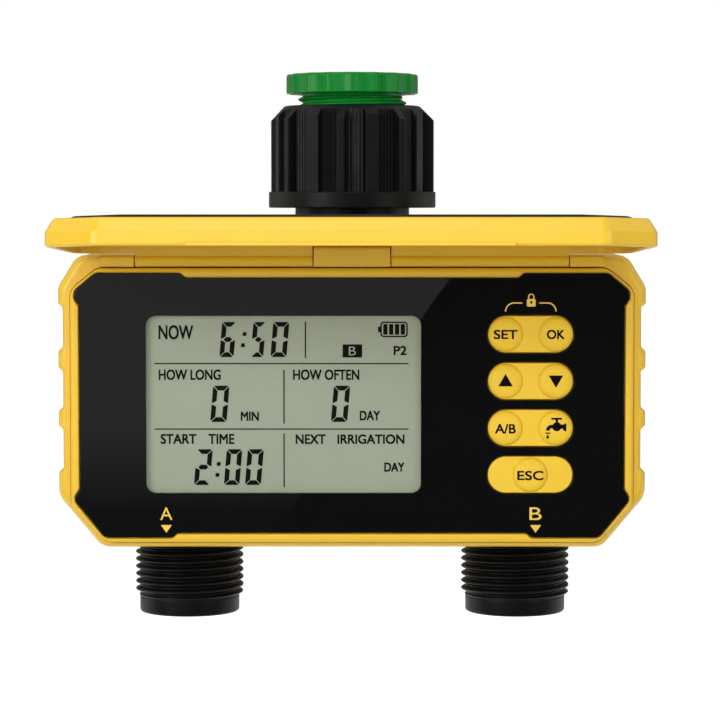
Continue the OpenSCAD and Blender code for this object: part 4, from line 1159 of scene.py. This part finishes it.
def make_outlet(letter, side):
    centre = (side * OUTLET_X, 0)
    low, high = span("outlet_" + letter)
    thread_end = BODY_BOTTOM - 8 * THREAD_PITCH
    end, tip_r = low.z, 12.2
    root = THREAD_R - THREAD_DEPTH
    outlet = threaded("outlet_" + letter + "_moulding", BODY_BOTTOM + 0.3, thread_end,
                      math.pi * 0.9, centre)
    tip = turned("tip", edge_profile([(0.01, end), (tip_r, end), (tip_r, thread_end + 0.1),
                                      (root - 0.02, thread_end + 0.6), (0.01, thread_end + 0.6)],
                                     0.7, 4), centre=centre)
    collar_low = BODY_BOTTOM + 1.3
    collar = turned("collar", edge_profile([(0.01, BODY_BOTTOM), (THREAD_R, BODY_BOTTOM),
                                            (THREAD_R, collar_low), (15.22, collar_low),
                                            (15.22, collar_low + 2.4), (7.4, collar_low + 2.4),
                                            (7.4, high.z), (0.01, high.z)], 0.15, 2),
                    centre=centre)
    plus(outlet, tip, collar)
    bore = turned("cutter", edge_profile([(8.95, end - 1), (8.95, end), (8.5, end + 0.5),
                                          (8.5, BODY_BOTTOM - 1), (4.6, BODY_BOTTOM - 0.4),
                                          (4.6, high.z + 1)], 0.2, 2), centre=centre)
    minus(outlet, bore)
    finish(outlet, "black_nylon", "housing", stands_for=("outlet_" + letter,))


def make_nut():
    low, high = nut_low.z, nut_high.z
    core_r, out_r, ring_r = nut_high.x - 2.75, nut_high.x - 0.4, nut_high.x
    flute_steps, grips, first_grip, rib_w, pad_w = 512, 16, -97.6, 1.7, 3.2
    ring = turned("inlet_nut_moulding",
                  edge_profile([(0.01, low), (ring_r, low), (ring_r, low + 3.9),
                                (core_r - 0.5, low + 3.9), (0.01, low + 3.9)], 0.35, 4))
    # Plan of the grip: narrow ribs, broader pads between them, and fine flutes all round
    flutes = []
    for k in range(flute_steps):
        a = 2 * math.pi * k / flute_steps
        flutes.append(polar(core_r - (0.0, 0.09, 0.18, 0.09)[k % 4], a))
    grip = prism(flutes, low + 2, high - 0.02, "z")
    ribs = []
    for k in range(grips):
        narrow = k % 2 == 0
        half = (rib_w if narrow else pad_w) / 2
        reach = out_r if narrow else core_r + 1.25
        angle = math.radians(first_grip + 360 / grips * k)
        outline = [Matrix.Rotation(angle, 2) @ p for p in
                   flat([(core_r - 2, -half * 1.15), (reach, -half), (reach, half),
                         (core_r - 2, half * 1.15)], [0, 0.25, 0.25, 0], 4)]
        ribs.append(prism(outline, low + 2, high - 0.02, "z"))
    plus(grip, *ribs)
    # Everything stays under a sloped crown with a narrow flat around its mouth
    crown_shape = turned("crown", edge_profile([(0.01, low), (out_r + 1, low),
                                                (out_r + 1, high - 4.4), (out_r, high - 3.5),
                                                (core_r - 0.9, high - 0.25), (core_r - 1.3, high),
                                                (0.01, high)], 0.3, 3), 144)
    combine(grip, "INTERSECT", [crown_shape])
    plus(ring, grip)
    minus(ring, nut_bore(low, high))
    finish(ring, "black_nylon", "inlet_nut", stands_for=("inlet_nut",))


def nut_bore(low, high):
    """The way through the nut: the spigot's bore, its retainer's groove and the thread."""
    retainer = span("nut_retainer")
    step = spigot_high.z - 1.1 + 0.3
    r, thread_bore_r, mouth_r = 13.98, 13.42, 14.0
    profile = [(r + 0.3, low - 1), (r + 0.3, low), (r, low + 0.3),
               (r, retainer[0].z - 0.3), (retainer[1].x + 0.3, retainer[0].z - 0.29),
               (retainer[1].x + 0.3, retainer[1].z + 0.29), (r, retainer[1].z + 0.3),
               (r, step), (thread_bore_r, step + 0.01), (thread_bore_r, high - 0.6),
               (mouth_r, high), (mouth_r, high + 1)]
    return turned("cutter", profile, 120)


def make_adapter():
    low, high = span("inlet_adapter")
    radius, flange = high.x, 4.8
    scallops, per = 17, 14
    outline = []
    for k in range(scallops * per):
        share = (k % per) / per - 0.5
        a = 2 * math.pi * k / (scallops * per) - math.pi / 2
        dip = 0.62 * max(0.0, 1 - (share / 0.43) ** 2) ** 0.8
        outline.append(polar(radius - dip, a))
    head = plate("inlet_adapter_moulding", outline, -flange, 0, "z", 0.35, 0.7, 5)
    neck_root = THREAD_R - THREAD_DEPTH
    thread = threaded("thread", -flange - 0.4, low.z, math.pi * 0.35)
    neck = turned("neck", [(0.01, -flange - 0.9), (neck_root, -flange - 0.9),
                           (neck_root + 0.2, -flange + 0.3), (0.01, -flange + 0.3)])
    plus(head, thread, neck)
    mouth = 9.315
    washer = span("adapter_washer")
    profile = edge_profile([(mouth + 0.9, 1), (mouth + 0.9, 0), (mouth, -0.8),
                            (mouth, -12), (mouth + 0.4, -12.01),
                            (mouth + 0.4, washer[0].z), (6.0, washer[0].z - 0.01),
                            (6.0, low.z - 1)], 0.05, 1)
    minus(head, turned("cutter", profile[::-1], 96))
    finish(head, "green_plastic", "inlet_adapter", stands_for=("inlet_adapter",))


def make_spigot():
    low, high = spigot_low.z, spigot_high.z
    flange_top = BODY_TOP + 2.5
    shoulder = high - 1.1
    retainer = span("nut_retainer")
    seal = span("spigot_seal")
    profile = [(0.01, low), (9.1, low), (9.4, low + 0.3),
               (9.4, seal[0].z), (8.4, seal[0].z + 0.01), (8.4, seal[1].z - 0.01),
               (9.4, seal[1].z), (9.4, BODY_TOP), (17.0, BODY_TOP + 0.01),
               (17.0, flange_top - 0.4), (16.6, flange_top), (13.9, flange_top + 0.01),
               (13.9, retainer[0].z), (12.82, retainer[0].z + 0.01),
               (12.82, retainer[1].z - 0.01), (13.9, retainer[1].z),
               (13.9, shoulder), (12.92, shoulder + 0.01), (12.92, high - 0.2),
               (12.7, high), (0.01, high)]
    spigot = turned("inlet_spigot_moulding", profile, 120)
    minus(spigot, turned("cutter", [(6.5, low - 1), (6.5, high - 1.2), (9.9, high - 1.19),
                                    (9.9, high + 1)], 96))
    finish(spigot, "black_nylon", "housing", stands_for=("inlet_spigot",))


# ---------------------------------------------------------------- back


def make_battery_cover():
    low, high = span("battery_cover")
    x, z, half_x, half_z = CELL_COVER
    cover = plate("battery_cover_moulding", rectangle(half_x, half_z, 3, (x, z), 8),
                  low.y, high.y, low_edge=0.1, high_edge=0.45, steps=4)
    grooves = [opening(rectangle(9, 0.5, 0.49, (x, z + k * 2.4), 5), high.y, -0.55, 0.15)
               for k in range(-3, 4)]
    screws = [rod(1.25, low.y - 1, high.y + 1, place) for place in cover_screw_places()]
    minus(cover, *grooves, *screws)
    finish(cover, "yellow_abs", "battery_cover", stands_for=("battery_cover",))


# ---------------------------------------------------------------- CAD nodes that stay

KEPT = {
    "lcd_glass": ["lcd_glass"],
    "white_plastic": ["lcd_holder", "nut_retainer", "inlet_filter"],
    "contact_rubber": ["zebra_strips"],
    "circuit_board": ["main_board"],
    "gold_pads": ["contact_pads"],
    "black_chips": ["board_components"],
    "steel": ["board_screws", "case_screws", "bonnet_screws", "hinge_pins",
              "battery_cover_screws", "battery_contacts", "solenoid_yoke_a", "solenoid_yoke_b",
              "plunger_a", "plunger_b", "plunger_spring_a", "plunger_spring_b"],
    "black_rubber": ["housing_seal", "nut_washer", "adapter_washer", "spigot_seal",
                     "outlet_seals", "diaphragm_a", "diaphragm_b", "battery_seal"],
    "black_nylon": ["manifold", "bonnet_a", "bonnet_b"],
    "copper_winding": ["solenoid_coil_a", "solenoid_coil_b"],
    "black_tray": ["battery_tray"],
    "cell_sleeve": ["battery_cells"],
}


def dress_kept_nodes():
    """Gives the CAD pieces that stay their finishes, and breaks their sharp edges."""
    for material, names in KEPT.items():
        for name in names:
            obj = cad_nodes[name]
            coated(obj, material)
            modifier(obj, "weld", "WELD", merge_threshold=1e-6)
            modifier(obj, "flatten", "DECIMATE", decimate_type="DISSOLVE",
                     angle_limit=math.radians(0.5))
            modifier(obj, "edge", "BEVEL", width=0.12 * MM, segments=2, limit_method="ANGLE",
                     angle_limit=math.radians(40), harden_normals=False)
            modifier(obj, "even_shading", "WEIGHTED_NORMAL", keep_sharp=True)


make_studio()
FINISHES.update(make_materials())
make_rear_shell()
make_front_cover()
make_front_panel()
make_keypad_mat()
make_keys()
make_panel_print()
make_display()
make_lid()
make_lid_insert()
make_outlet("a", -1)
make_outlet("b", 1)
make_nut()
make_adapter()
make_spigot()
make_battery_cover()
dress_kept_nodes()
